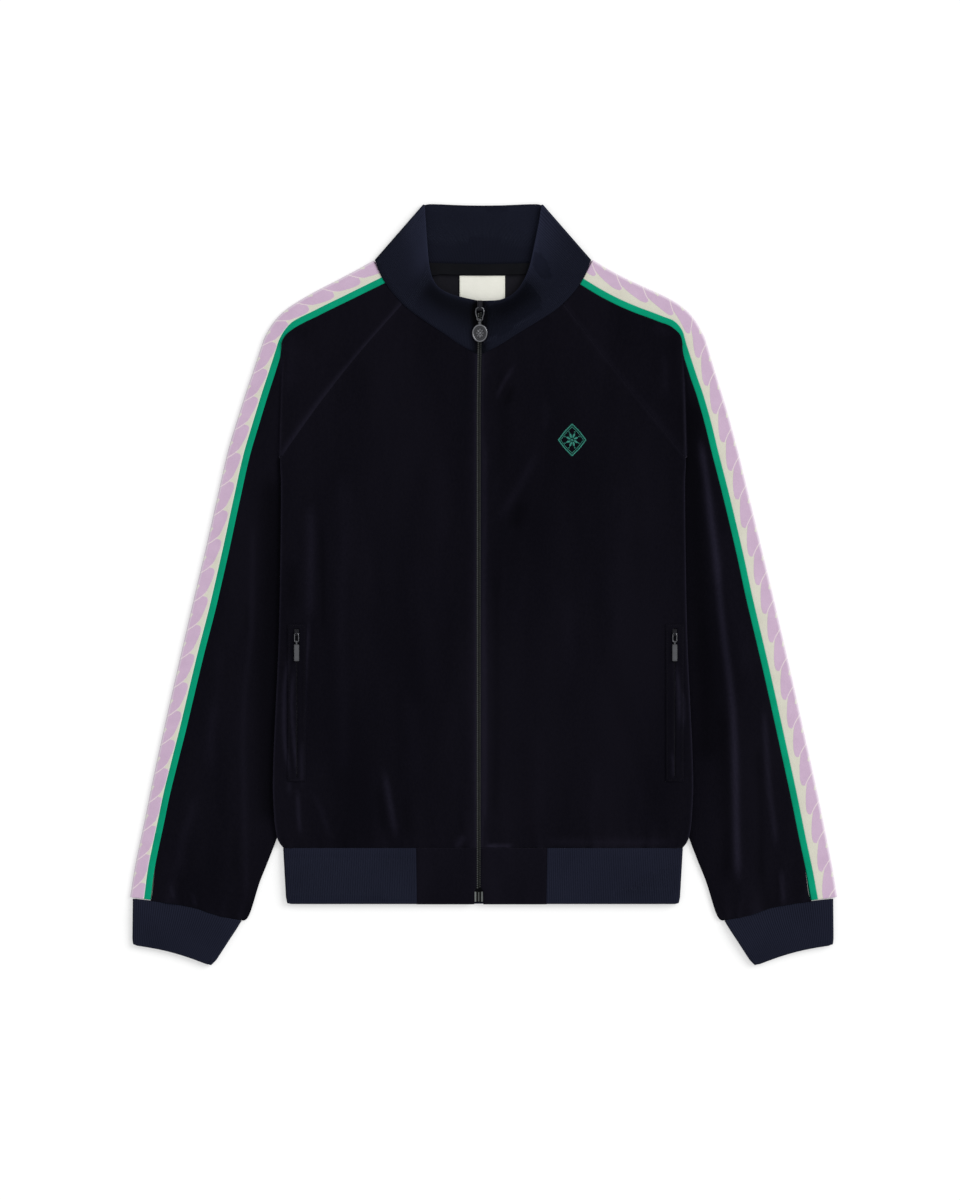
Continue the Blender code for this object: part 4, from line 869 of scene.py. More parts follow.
# %% Sew the bands
def sew_band(side_name, side):
    along = places_along_fold(NECK_START, FOLD_LENGTH - NECK_ROOM, 4.0)
    front = reading(BAND_ON_FRONT[side_name], along)[:, None]
    low, top = TAPE / 2, TAPE / 2 + 2 * BAND_FOLD
    columns = [(front * s, mix(top, BAND_TOP, s) - turned_down((1 - s) * front, 0.3, 1.6))
               for s in (1, 0.97, 0.93, 0.75, 0.6, 0.45, 0.3, 0.2, 0.12)]
    middle_of_fold = len(columns) + 6
    columns += [(BAND_FOLD * (1 + math.cos(a)), low + BAND_FOLD * (1 + math.sin(a)))
                for a in np.radians(np.linspace(90, 270, 13))]
    columns += [(mix(BAND_FOLD, BAND_WIDTH - front, s), low) for s in (0.15, 0.35, 0.6, 0.8, 1)]
    inset, z = (np.hstack([column[k] + 0 * front for column in columns]) for k in (0, 1))
    under = np.arange(len(columns)) > middle_of_fold
    over_xy = in_from_fold(side_name, along[:, None], inset)
    under_xy = in_from_fold(side_name, along[:, None], inset, True)
    x, y = (np.where(under, b, a) for a, b in zip(over_xy, under_xy))
    # above 0 near the trim, below 0 near the outer fold, where the band's finish paints a highlight
    painted_light_and_tone = np.where(under, 0.0, soft_step(1 - (front - inset) / 1.3) - soft_step(1.2 - inset / 2.2))
    arc = np.hypot(np.diff(inset, axis=1), np.diff(z, axis=1))
    run = np.hstack([0 * front, np.cumsum(arc, axis=1)])
    across = side * (front - run - 0.7)
    made = cloth("band_cloth_" + side_name, side * x, y, z, across, along[:, None] + 0 * x, TAPE,
                 BAND_LOOK, "band_" + side_name, painted_light_and_tone=painted_light_and_tone)


def sew_trim(side_name, side, behind):
    along = places_along_fold(NECK_START, FOLD_LENGTH - NECK_ROOM, 4.0)
    front = reading(BAND_ON_FRONT[side_name], along)[:, None]
    start = (BAND_WIDTH - front if behind else front) + GAP
    share = np.array([0, 0.1, 0.25, 0.5, 0.75, 0.9, 1])[None, :]
    inset = start + TRIM_WIDTH * share
    x, y = in_from_fold(side_name, along[:, None], inset, behind)
    roll = turned_down(np.minimum(share, 1 - share) * TRIM_WIDTH, 0.28, 1.6)
    z = (TAPE / 2 if behind else mix(BAND_TOP + 0.1, ARM_OUTER - 0.1, share) - roll) + 0 * x
    node = ("trim_back_" if behind else "trim_front_") + side_name
    made = cloth("green_" + node, side * x, y, z, side * TRIM_WIDTH * share + 0 * x,
                 along[:, None] + 0 * x, TAPE, GREEN_LOOK, node)


for SIDE_NAME, SIDE in SIDES:
    sew_band(SIDE_NAME, SIDE)
    for BEHIND in (True, False):
        sew_trim(SIDE_NAME, SIDE, BEHIND)

# %% [markdown]
# ## Rib pieces
#
# The collar, cuffs and hem are doubled rib.  `wale_wave` is the relief of the rib, and the columns
# of each grid are close enough together, four to a wale, to carry it as real shape.

# %% Rib columns and their wave
RIB_RELIEF = 0.26


def wale_steps(length):
    return np.linspace(0, length, int(round(length / (WALE / 4))) + 1)


def wale_wave(run, down, deep, first, last):
    """The rib's relief, which fades over a first and a last part of its depth."""
    fade = 0.25 + 0.75 * soft_step(down * deep / first) * soft_step((1 - down) * deep / last)
    return RIB_RELIEF * np.cos(2 * np.pi * run / WALE) * fade


# %% Hem rib
def sew_hem_rib():
    low, radius = RIB / 2, (HEM_TOP - RIB / 2) / 2
    flat = BODY_SIDE[0][1] + HEM_STEP - RIB / 2 - radius
    half = [(HEM_RIB_START, HEM_TOP), (flat, HEM_TOP)]
    half += [(flat + radius * math.cos(a), low + radius * (1 + math.sin(a)))
             for a in np.radians(np.linspace(72, -72, 9))]
    half += [(flat, low), (0, low)]
    path = np.array(half + [(-x, z) for x, z in half[-2::-1]])
    at = walked(path)
    run = wale_steps(at[-1])
    out, z = (np.interp(run, at, path[:, k])[None, :] for k in (0, 1))
    down = spaced(HEM_DEEP, 5)[:, None]
    y = HEM_SEAM - GAP - down * (HEM_SEAM - GAP - HEM_BOTTOM)
    x = out * (1 - HEM_TAPER / flat * down)
    upper = z > HEM_TOP - 1.0
    bow = 0.5 * np.sin(np.pi * down) - turned_down(down * HEM_DEEP, 0.5)
    z = z + (wale_wave(run, down, HEM_DEEP, 5, 3) + bow) * upper
    x, y = drawn_in(x, y + 0 * x, (220.5, HEM_BOTTOM), (-0.7, 0.7), 1.6, 3.5)
    x = np.where(upper, off_centre(x, y), x)
    made = cloth("hem_rib_knit", x, y, z, run + 0 * x, y, RIB - 2 * RIB_RELIEF, RIB_LOOK, "hem_rib")


def sew_hem_block(side_name, side):
    across, down = spaced(BLOCK_WIDTH, 2.2), spaced(HEM_DEEP, 2.2)
    share, drop = np.meshgrid(across, down)
    y = HEM_SEAM - GAP - drop * (HEM_SEAM - GAP - HEM_BOTTOM)
    slit = ZIP_SLIT + 2.6 * soft_step((-339 - y) / 5)
    x = mix(slit, HEM_RIB_START - GAP, share)
    z = HEM_TOP - rolled(across, BLOCK_WIDTH, down, HEM_DEEP, 0.6) + 0.5 * np.sin(np.pi * drop)
    z = z + gathers(x, drop * HEM_DEEP, 8, 72, 31 + side, 14, 0.5)
    z = z + gathers(x, (1 - drop) * HEM_DEEP, 8, 72, 41 + side, 14, 0.4)
    x = off_centre(side * x, y)
    made = cloth("velour_hem_block_" + side_name, x, y, z, x, y, VELOUR + 0.6, VELOUR_LOOK,
                 "hem_block_" + side_name, painted_light_and_tone=0.22)


sew_hem_rib()
for SIDE_NAME, SIDE in SIDES:
    sew_hem_block(SIDE_NAME, SIDE)

# %% [markdown]
# The cuffs are flattened tubes that narrow to the wrist.  Each row of the grid goes once round.

# %% Cuffs
CUFF_ROWS = ((391.5, -352.3, 271.5, -378.0), (391.8, -377.6, 286.5, -400.6),
             (392.0, -404.5, 304.3, -428.0))
CUFF_BOTTOM_BOW = 3.4


def sew_cuff(side_name, side):
    low, radius = RIB / 2, (CUFF_TOP - RIB / 2) / 2
    down = spaced(CUFF_DEEP, 4.5)
    ends = np.stack([reading(list(zip((0, 0.5, 1), row)), down) for row in zip(*CUFF_ROWS)], -1)
    outer, inner, down = ends[:, :2], ends[:, 2:], down[:, None]
    length = np.linalg.norm(inner - outer, axis=1)[:, None]
    way = (inner - outer) / length
    turn = np.radians(np.linspace(90, -90, 9))[1:-1]
    ones = np.ones_like(length)
    loop = [(radius * ones, CUFF_TOP), (length - radius, CUFF_TOP)]
    loop += [(length - radius + radius * math.cos(a), low + radius * (1 + math.sin(a))) for a in turn]
    loop += [(length - radius, low), (radius * ones, low)]
    loop += [(radius - radius * math.cos(a), low + radius * (1 + math.sin(a))) for a in turn[::-1]]
    loop.append(loop[0])
    inset = np.hstack([d + 0 * ones for d, _ in loop])
    height = np.array([h for _, h in loop])
    step = np.hypot(np.diff(inset, axis=1), np.diff(height)[None, :])
    run = np.hstack([0 * ones, np.cumsum(step, axis=1)])
    at = np.linspace(0, 1, 4 * CUFF_WALES, endpoint=False)
    inset = np.stack([np.interp(at * r[-1], r, d) for r, d in zip(run, inset)])
    z = np.stack([np.interp(at * r[-1], r, height) for r in run])
    x = outer[:, :1] + way[:, :1] * inset
    y = outer[:, 1:] + way[:, 1:] * inset
    share = inset / length
    sewn_y = reading(CUFF_SEAM, x) - CUFF_ROOM - down * CUFF_DEEP
    y = mix(y, sewn_y, np.clip(1 - down / 0.35, 0, 1) ** 2)
    y = y + CUFF_BOTTOM_BOW * np.sin(np.pi * share) * down ** 2
    x, y = drawn_in(x, y, CUFF_ROWS[2][2:], (0.6, 0.8), 1.8, 4.0)
    x, y = drawn_in(x, y, CUFF_ROWS[2][:2], (-0.7, 0.7), 1.2, 3.0)
    upper = soft_step((z - low - radius) / radius)
    bow = 0.6 * np.sin(np.pi * down) - turned_down(down * CUFF_DEEP, 0.5)
    z = z + (wale_wave(at * CUFF_WALES * WALE, down, CUFF_DEEP, 6, 3) + bow) * upper
    around = side * CUFF_WALES * WALE * np.linspace(0, 1, len(at) + 1) + 0 * ones
    made = cloth("cuff_knit_" + side_name, side * x, y, z, around, -down * CUFF_DEEP + 0 * around,
                 RIB - 2 * RIB_RELIEF, RIB_LOOK, "cuff_" + side_name, ring=True)


for SIDE_NAME, SIDE in SIDES:
    sew_cuff(SIDE_NAME, SIDE)

# %% [markdown]
# The collar is one long strip.  Its tables give the top edge and the seam edge at stations from
# the zip round to the middle of the back.  The two sides of the front lie a little unlike.

# %% Collar
COLLAR_TOP = {
    "right": ((-6.7, 317.4), (-21.5, 320.6), (-36.0, 324.6), (-48.8, 331.6), (-56.2, 341.8),
              (-60.8, 361.0), (-63.0, 388.0), (-64.6, 412.0), (-65.4, 423.0)),
    "left": ((-0.6, 317.0), (14.6, 317.5), (28.0, 321.4), (39.2, 330.4), (46.8, 342.6),
             (52.8, 358.5), (58.3, 384.0), (63.2, 409.0), (65.4, 423.0)),
}
COLLAR_FOOT = (
    (3.0, 258.3, 8.6, 5.9), (22.0, 268.5, 8.5, 5.9), (42.0, 281.7, 8.2, 5.9),
    (62.0, 294.3, 7.8, 5.9), (78.2, 305.0, 7.4, 5.9), (89.5, 314.3, 7.0, 5.9),
    (108.2, 336.2, 6.3, 5.6), (117.0, 352.5, 5.7, 5.3), (119.4, 360.0, 5.5, 5.5),
)
COLLAR_BACK = (
    (66.3, 424.4, 120.6, 362.1, 3.5), (64.8, 424.9, 118.2, 361.6, 1.6),
    (59.5, 425.8, 107.0, 360.3, 1.5), (48.0, 425.6, 87.5, 353.1, 1.5),
    (33.0, 424.9, 60.0, 348.9, 1.5), (16.5, 424.4, 30.0, 347.9, 1.5), (0.0, 424.2, 0.0, 347.2, 1.5),
)


def collar_tone(share, down, to_zip):
    """How the light falls on the stand: share runs from the zip to the fold and on to the back."""
    sides, outside = soft_step((share - 0.45) / 0.3), soft_step((1.02 - share) / 0.04)
    hollow = -0.45 * (1 - soft_step((share - 0.5) / 0.2)) * np.exp(-((down - 0.25) / 0.36) ** 2)
    edge = 0.5 * np.exp(-(down * COLLAR_DEEP / 2.2) ** 2) * outside
    glow = 0.5 * sides * outside * np.exp(-((down - 0.1) / 0.3) ** 2)
    beside_zip = -0.5 * np.exp(-(to_zip / 7) ** 2)
    inside = -(0.12 * down + 0.7 * soft_step((down - 0.84) / 0.1)) * (1 - outside)
    return hollow + edge + glow + beside_zip + inside - 0.33


def collar_side(side_name, side):
    """Fine rows on one side, from the zip to the middle of the back: both edges and heights."""
    rows = [(*top, float(off_centre(side * x, y)), y, top_z, seam_z, 1)
            for top, (x, y, top_z, seam_z) in zip(COLLAR_TOP[side_name], COLLAR_FOOT)]
    rows += [(side * top_x, top_y, side * x, y, z, z, 0) for top_x, top_y, x, y, z in COLLAR_BACK]
    rows = np.array(rows)
    place = walked(rows[:, [2, 3, 5]])
    at = wale_steps(place[-1])
    fine = [reading(np.stack([place, rows[:, k]], -1), at) for k in range(6)]
    return np.stack(fine + [np.interp(at, place, rows[:, 6]), at, at / place[len(COLLAR_FOOT)]], -1)


def sew_collar():
    right, left = (collar_side(side_name, side) for side_name, side in SIDES)
    fine = np.vstack([left, right[-2::-1]])
    on_right = (np.arange(len(fine)) >= len(left))[None, :]
    top_x, top_y, seam_x, seam_y, top_z, seam_z, front, to_zip, share = fine.T[:, None, :]
    run = np.where(on_right, left[-1, 7] + right[-1, 7] - to_zip, to_zip)
    down = spaced(COLLAR_DEEP, 4.5)[:, None]
    x, y, z = mix(top_x, seam_x, down), mix(top_y, seam_y, down), mix(top_z, seam_z, down)
    flat_top = front * soft_step(z - 4.2)
    z = z + wale_wave(run, down, COLLAR_DEEP, 4, 5) * (flat_top + 0.35 * (z < 1.9))
    bow = 0.5 * np.sin(np.pi * down) - turned_down((1 - down) * COLLAR_DEEP, 0.7, 3)
    z = z + flat_top * bow
    made = cloth("collar_knit", x, y, z, run + 0 * x, down * COLLAR_DEEP + 0 * x,
                 COLLAR_RIB - 2 * RIB_RELIEF, RIB_LOOK, "collar",
                 painted_light_and_tone=collar_tone(share, down, to_zip))


sew_collar()

# %% [markdown]
# ## Neck tape and label
#
# Inside the neck, a tape covers the collar seam, and a woven label is sewn on by its two ends.
# The label stays blank.

# %% Neck tape and label
NECK_TAPE_HALF, NECK_TAPE_DEEP = 62.0, 11.0
LABEL_LEFT, LABEL_RIGHT, LABEL_LOW, LABEL_HIGH = -26.2, 24.6, 310.6, 345.6


def sew_neck_tape():
    across, up = spaced(2 * NECK_TAPE_HALF, 4), spaced(NECK_TAPE_DEEP, 2, 0.6)
    x = mix(-NECK_TAPE_HALF, NECK_TAPE_HALF, across)[None, :] + 0 * up[:, None]
    rise = mix(-1.3 - 1.8 * soft_step((abs(x) - 48) / 8), NECK_TAPE_DEEP, up[:, None])
    y = reading(BACK_NECK, abs(x)) + rise
    z = 3.8 + 0.15 * np.cos(x / 3.5) * soft_step((rise - 6) / 4) + 0 * x
    made = cloth("neck_tape_twill", x, y, z, rise, x, NECK_TAPE, NECK_TAPE_LOOK, "neck_tape")


def sew_label():
    across, up = spaced(LABEL_RIGHT - LABEL_LEFT, 2.5, 0.5), spaced(LABEL_HIGH - LABEL_LOW, 2.5, 0.5)
    share, rise = np.meshgrid(across, up)
    x, y = mix(LABEL_LEFT, LABEL_RIGHT, share), mix(LABEL_LOW, LABEL_HIGH, rise)
    z = 2.3 + 0.5 * np.sin(np.pi * share) * np.sin(np.pi * rise)
    z = z + 0.12 * np.sin(4.2 * share + 1) * (1 - rise)
    made = cloth("label_cloth", x, y, z, x, y, LABEL, LABEL_LOOK, "label")


sew_neck_tape()
sew_label()


# %% [markdown]
# ## Stitches
#
# A stitch is a short thread that dips into the cloth at both ends.  A whole seam of them is one
# mesh: `stitch_mesh` walks each line and lays a small six-sided thread for every stitch.  Threads
# and the teeth of the zip are rings of points, which `tubes_mesh` joins into closed tubes.

# %% Tubes and lines of stitches
def unit(way):
    return way / np.linalg.norm(way)


def ring_of(centre, first_way, second_way, radius, sides, turn=0.0):
    """Points round a centre in the plane of two directions."""
    angles = turn + np.arange(sides) * 2 * math.pi / sides
    return [centre + (math.cos(a) * first_way + math.sin(a) * second_way) * radius for a in angles]


def tubes_mesh(name, tubes):
    """One mesh of closed tubes.  Each tube is a list of rings, and all rings have as many points."""
    sides = len(tubes[0][0])
    faces, start = [], 0
    for rings in tubes:
        last = start + sides * (len(rings) - 1)
        for base in range(start, last, sides):
            for c in range(sides):
                d = (c + 1) % sides
                faces.append((base + c, base + d, base + sides + d, base + sides + c))
        faces += [tuple(range(start, start + sides))[::-1], tuple(range(last, last + sides))]
        start = last + sides
    mesh = bpy.data.meshes.new(name)
    mesh.from_pydata((np.array(tubes).reshape(-1, 3) * MM).tolist(), [], faces)
    return mesh


# the rings of a stitch: (share of its length, how far it stands out, girth)
STITCH_RINGS = ((0, -0.9, 0.45), (0.2, 0.2, 0.95), (0.5, 1.0, 1.0), (0.8, 0.2, 0.95), (1, -0.9, 0.45))


def stitch_mesh(name, lines, pitch=3.0, thick=0.45, share=0.72, rise=0.22):
    """lines: lists of places (x, y, z of the cloth's top); threads lie along them."""
    part, out, girth = np.array(STITCH_RINGS).T
    tubes = []
    for line in lines:
        line = np.array(line, float)
        run = walked(line)
        for start in np.arange(pitch * 0.3, run[-1] - pitch * share, pitch):
            ring_at = start + pitch * share * part
            middle = np.stack([np.interp(ring_at, run, line[:, k]) for k in range(3)], -1)
            way = unit(middle[-1] - middle[0])
            side_way = unit(np.cross(way, (0, 0, 1.0)))
            up_way = np.cross(side_way, way)
            tubes.append([ring_of(m + up_way * rise * o, side_way, up_way, thick / 2 * g, 6)
                          for m, o, g in zip(middle, out, girth)])
    mesh = tubes_mesh(name, tubes)
    mesh.shade_smooth()
    return mesh


def top_of(made):
    """A reader of the height of a piece of cloth at x and y, seen from above."""
    bpy.context.view_layer.update()
    ready = made.evaluated_get(bpy.context.evaluated_depsgraph_get())

    def height(x, y, lift=0.0):
        hit, place, _, _ = ready.ray_cast(Vector((x * MM, y * MM, 0.1)), Vector((0, 0, -1)))
        return (place.z / MM if hit else -1.0) + lift

    return height


front_top_at = {name: top_of(made) for name, made in FRONTS.items()}

# %% Stitches on the label
label_top = top_of(bpy.data.objects["label_cloth"])
label_lines = []
for X in (LABEL_LEFT + 1.3, LABEL_RIGHT - 1.3):
    down_the_end = np.linspace(LABEL_LOW + 1.4, LABEL_HIGH - 1.2, 12)
    label_lines.append([(X, Y, label_top(X, Y, 0.05)) for Y in down_the_end])
LABEL_STITCHES = stitch_mesh("label_stitches", label_lines, 2.0, 0.35)
piece("label_stitches", LABEL_STITCHES, CREAM_THREAD)

# %% [markdown]
# ## Front zip
#
# The zip's teeth are cast onto the tapes' edges and mesh alternately.  One tooth is a small block
# with its head narrowed, and a loop sets the whole row in one mesh for each side.

# %% Zip tapes and teeth
COLLAR_END = (258.6, 317.0, 5.9, 8.6)


def zip_tape_height(y):
    low_y, high_y, low_z, high_z = COLLAR_END
    collar = mix(low_z, high_z, (y - low_y) / (high_y - low_y)) - COLLAR_RIB / 2
    front = np.where(y < 258.5, FRONT_BASE - VELOUR / 2, collar)
    return np.where(y < HEM_SEAM, HEM_TOP - RIB / 2, front) - GAP - ZIP_TAPE / 2


def sew_zip_tape(side_name, side):
    y = np.linspace(HEM_BOTTOM + ZIP_FOOT, 316, 170)[:, None]
    x = np.array([0.15, 0.5, 2.0, 4.0, 8.0, 13.0, 14.0])[None, :]
    z = zip_tape_height(y - 0.45 * x)
    made = cloth("zip_tape_woven_" + side_name, off_centre(side * x, y), y + 0 * x, z, x + 0 * y,
                 y + 0 * x, ZIP_TAPE, ZIP_TAPE_LOOK, "zip_tape_" + side_name)


TOOTH_PITCH, FIRST_TOOTH, LAST_TOOTH = 2.5, -340.2, 304.5
# outline of one tooth seen from above: (out from the tape's edge, half width along the zip)
TOOTH = ((2.1, 0.78), (1.0, 0.78), (0.4, 0.52), (-0.5, 0.62), (-0.85, 0.40))
# its levels: (height, share of the width, how far the outer end is drawn in)
TOOTH_LEVELS = ((0.0, 1.0, 0.0), (1.15, 1.0, 0.0), (1.55, 0.72, 0.2))
# the painted highlight on each row's outer part, where it would catch the light; stronger on the right
TOOTH_SHINE = {"right": 15.0, "left": 8.0}


def tidied(mesh, weld=0.0):
    """The mesh with its faces turned outward, after points closer than weld are joined."""
    work = bmesh.new()
    work.from_mesh(mesh)
    if weld:
        bmesh.ops.remove_doubles(work, verts=work.verts, dist=weld * MM)
    bmesh.ops.recalc_face_normals(work, faces=work.faces)
    work.to_mesh(mesh)
    work.free()
    return mesh


def zip_teeth(side_name, side):
    outline = TOOTH + tuple((a, -b) for a, b in reversed(TOOTH))
    teeth = []
    for y in np.arange(FIRST_TOOTH, LAST_TOOTH, TOOTH_PITCH) + max(side, 0) * TOOTH_PITCH / 2:
        middle, base = float(off_centre(0, y)), float(zip_tape_height(y)) + ZIP_TAPE / 2 + 0.25
        teeth.append([[(middle + side * (a - inward * (a > 2)), y + b * wide, base + level)
                       for a, b in outline] for level, wide, inward in TOOTH_LEVELS])
    mesh = tidied(tubes_mesh("zip_teeth_" + side_name, teeth))
    outer_part = np.array([a > 0.9 for a, _ in outline] * len(TOOTH_LEVELS) * len(teeth))
    set_painted_light_and_tone(mesh, TOOTH_SHINE[side_name] * outer_part)
    return len(teeth), mesh


for SIDE_NAME, SIDE in SIDES:
    sew_zip_tape(SIDE_NAME, SIDE)
    COUNT, TEETH = zip_teeth(SIDE_NAME, SIDE)
    piece("zip_teeth_" + SIDE_NAME, TEETH, CHAIN_METAL, ("zip_chain_" + SIDE_NAME,))
print("the zip has", COUNT, "teeth on each side")

# %% [markdown]
# Most hard zip parts keep their solids and only get a better finish.  The box at the zip's foot gets
# its rails and pin.  The medallion is a cast oval with a raised rim and a plain rosette, built from
# rings of points.

# %% Hard parts that keep their solids
for NODE, LOOK in (("zip_slider", GUNMETAL), ("zip_link", GUNMETAL_PULL),
                   ("pocket_slider_right", GUNMETAL), ("pocket_slider_left", GUNMETAL),
                   ("pocket_loop_right", GUNMETAL_PULL), ("pocket_loop_left", GUNMETAL_PULL),
                   ("pocket_tab_right", GUNMETAL_PULL), ("pocket_tab_left", GUNMETAL_PULL)):
    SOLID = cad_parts[NODE]
    SOLID.data.materials.clear()
    SOLID.data.materials.append(LOOK)

# %% Box at the foot of the zip: a plate with two rails and the pin between them
# each bar: (off the middle, width, length, how much lighter its painted highlight makes it)
BOX_BARS = ((0.0, 9.4, 11.6, 0.0), (-3.7, 1.9, 11.2, 18.0), (3.7, 1.9, 11.2, 14.0),
            (0.0, 1.3, 10.4, 11.0))


def cast_zip_box():
    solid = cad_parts["zip_box"]
    corners = np.array([solid.matrix_world @ Vector(c) for c in solid.bound_box]) / MM
    low, high = corners.min(0), corners.max(0)
    middle, deep = (low + high) / 2, high[2] - low[2]
    work = bmesh.new()
    # painted highlights on the rails and the pin, stored at their points
    wear_and_painted_highlight = work.verts.layers.float.new("painted_light_and_tone")
    for off, wide, tall, tone in BOX_BARS:
        part = 0.65 * deep if tone == 0 else deep
        bar = bmesh.ops.create_cube(work, size=1.0)["verts"]
        bmesh.ops.scale(work, vec=Vector((wide, tall, part)) * MM, verts=bar)
        place = Vector((middle[0] + off, middle[1], low[2] + part / 2)) * MM
        bmesh.ops.translate(work, vec=place, verts=bar)
        for vert in bar:
            vert[wear_and_painted_highlight] = tone
    bmesh.ops.bevel(work, geom=work.edges[:], offset=0.25 * MM, segments=2, affect="EDGES")
    mesh = bpy.data.meshes.new("zip_box_cast")
    work.to_mesh(mesh)
    work.free()
    piece("zip_box_cast", mesh, CHAIN_METAL, ("zip_box",))


cast_zip_box()

# %% Medallion
MEDALLION_EYE, MEDALLION_DROP, MEDALLION_TILT = (-3.6, 295.2, 10.392), 14.6, math.atan(0.0462)
MEDALLION_HALF, WELD = (8.6, 10.0), 0.02
# round the edge and over the back: (share of the radius, height)
MEDALLION_BACK = ((1.0, 0.45), (1.0, -0.75), (0.98, -1.0), (0.5, -1.0), (0.0, -1.0))


def medallion_relief(radius, angle):
    """Height of the medallion's face over its middle plane at a share of its radius."""
    rim = 0.45 * soft_step((radius - 0.80) / 0.06) * soft_step((1.0 - radius) / 0.05)
    petals = 0.5 + 0.5 * np.cos(8 * angle)
    rosette = 0.32 * petals * soft_step((0.56 - radius) / 0.14) * soft_step((radius - 0.17) / 0.06)
    heart = 0.40 * soft_step((0.15 - radius) / 0.05)
    beads = 0.24 * soft_step((0.055 - abs(radius - 0.68)) / 0.03) * (0.5 + 0.5 * np.cos(24 * angle)) ** 2
    return 0.55 + rim + rosette + heart + beads


def cast_medallion():
    angle = np.linspace(0, 2 * np.pi, 97)[None, :]
    face = np.linspace(0.0, 0.98, 42)[:, None]
    relief = medallion_relief(face, angle)
    back = np.array(MEDALLION_BACK)
    radius = np.vstack([face, back[:, :1]])
    z = np.vstack([relief, back[:, 1:] + 0 * angle])
    wear_and_painted_highlight = np.vstack([mix(-0.6, 0.65, (relief - 0.55) / 0.45), 0 * back[:, 1:] * angle])
    x = MEDALLION_HALF[0] * radius * np.cos(angle)
    y = MEDALLION_HALF[1] * radius * np.sin(angle) - MEDALLION_DROP
    cos, sin = math.cos(MEDALLION_TILT), math.sin(MEDALLION_TILT)
    y, z = y * cos - z * sin, y * sin + z * cos
    eye = MEDALLION_EYE
    mesh = grid_mesh("medallion", x + eye[0], y + eye[1], z + eye[2], 0 * x + angle, 0 * x + radius,
                     painted_light_and_tone=wear_and_painted_highlight)
    piece("medallion_cast", tidied(mesh, WELD), GUNMETAL_PULL, ("zip_medallion",), "zip_medallion")


def cast_medallion_eye():
    """The lug and the eye that hang the medallion on its link."""
    turn = np.linspace(0, 2 * np.pi, 33)[None, :]
    profile = np.array([(1.0, -1.35), (1.0, 1.35), (1.25, 1.5), (1.6, 1.45), (1.75, 1.2),
                        (1.75, -1.2), (1.6, -1.45), (1.25, -1.5), (1.0, -1.35)])
    ring, along = profile[:, :1], profile[:, 1:]
    eye = MEDALLION_EYE
    mesh = grid_mesh("medallion_eye", eye[0] + along + 0 * turn, eye[1] + ring * np.cos(turn),
                     eye[2] + ring * np.sin(turn), 0 * turn + along, turn + 0 * along)
    work = bmesh.new()
    work.from_mesh(mesh)
    bmesh.ops.remove_doubles(work, verts=work.verts, dist=WELD * MM)
    lug = bmesh.ops.create_cube(work, size=1.0)["verts"]
    bmesh.ops.scale(work, vec=(2.4 * MM, 4.2 * MM, 1.2 * MM), verts=lug)
    bmesh.ops.translate(work, vec=Vector((eye[0], eye[1] - 3.4, eye[2] - 0.1)) * MM, verts=lug)
    bmesh.ops.recalc_face_normals(work, faces=work.faces)
    work.to_mesh(mesh)
    work.free()
    piece("medallion_eye", mesh, GUNMETAL_PULL, (), "zip_medallion")


cast_medallion()
cast_medallion_eye()

# %% [markdown]
# ## Side pockets
#
# The pocket's mouth is a narrow slot in a stitched band of velour, with a fine zip hidden between
# its lips.  The lips are rounded, and a row of stitches runs round the whole.

# %% Pocket welts
POCKET_X = {"right": 208.5, "left": 214.5}
POCKET_TOP, POCKET_BOTTOM, WELT_WIDTH, WELT_END = -45.0, -221.0, 20.0, 4.5
WELT_POINTS, WELT_RISE, STITCHES_OUT, STITCHES_IN = 61, 0.85, 8.28, 1.6
POCKET_ZIP_TOP, POCKET_ZIP_BOTTOM, COIL_PITCH = -50, -216, 1.35


def sew_welt(side_name, side):
    height = front_top_at[side_name]
    middle = side * POCKET_X[side_name]
    share = spaced(1, 0.14, 0.03)[:, None]
    # the grid runs down one lip of the slot and up the other
    down = np.linspace(0, 1, WELT_POINTS)
    down = np.concatenate([down, down[::-1]])
    way = np.repeat([1, -1], WELT_POINTS)
    level = mix(POCKET_TOP - WELT_END, POCKET_BOTTOM + WELT_END, down)
    ajar = 0.7 + 1.9 * soft_step((level - POCKET_TOP + 26) / 8)
    x = middle + way * mix(ajar, WELT_WIDTH / 2, share)
    y = mix(level, mix(POCKET_TOP, POCKET_BOTTOM, down), share)
    base = np.array([[height(a, b) for a, b in zip(*row)] for row in zip(x, y)])
    lip = 0.6 * np.exp(-((share - 0.2) / 0.2) ** 2) - 0.5 * np.clip(1 - share / 0.08, 0, 1)
    lip = lip - turned_down(1 - share, 0.6, 0.25)
    bent, painted_light_and_tone = folds(x, y, POCKET_FOLDS[side_name])
    z = base + WELT_RISE + lip * (0.8 + 0.2 * np.sin(y / 9.0 + side)) + bent
    across, along = (np.column_stack([a, a[:, :1]]) for a in (x, y))
    made = cloth("velour_welt_" + side_name, x, y, z, across, along, WELT, VELOUR_LOOK,
                 "pocket_welt_" + side_name, ring=True, painted_light_and_tone=painted_light_and_tone)
    over = top_of(made)
    right, left = middle + STITCHES_OUT, middle - STITCHES_OUT
    high, low = POCKET_TOP - STITCHES_IN, POCKET_BOTTOM + STITCHES_IN
    box = [(right, high), (right, low), (left, low), (left, high)]
    lines = [[(a, b, over(a, b, -0.1)) for a, b in np.linspace(first, last, 60)]
             for first, last in zip(box, box[1:] + box[:1])]
    name = "welt_stitches_" + side_name
    piece(name, stitch_mesh(name, lines, 2.6, 0.4), NAVY_THREAD)


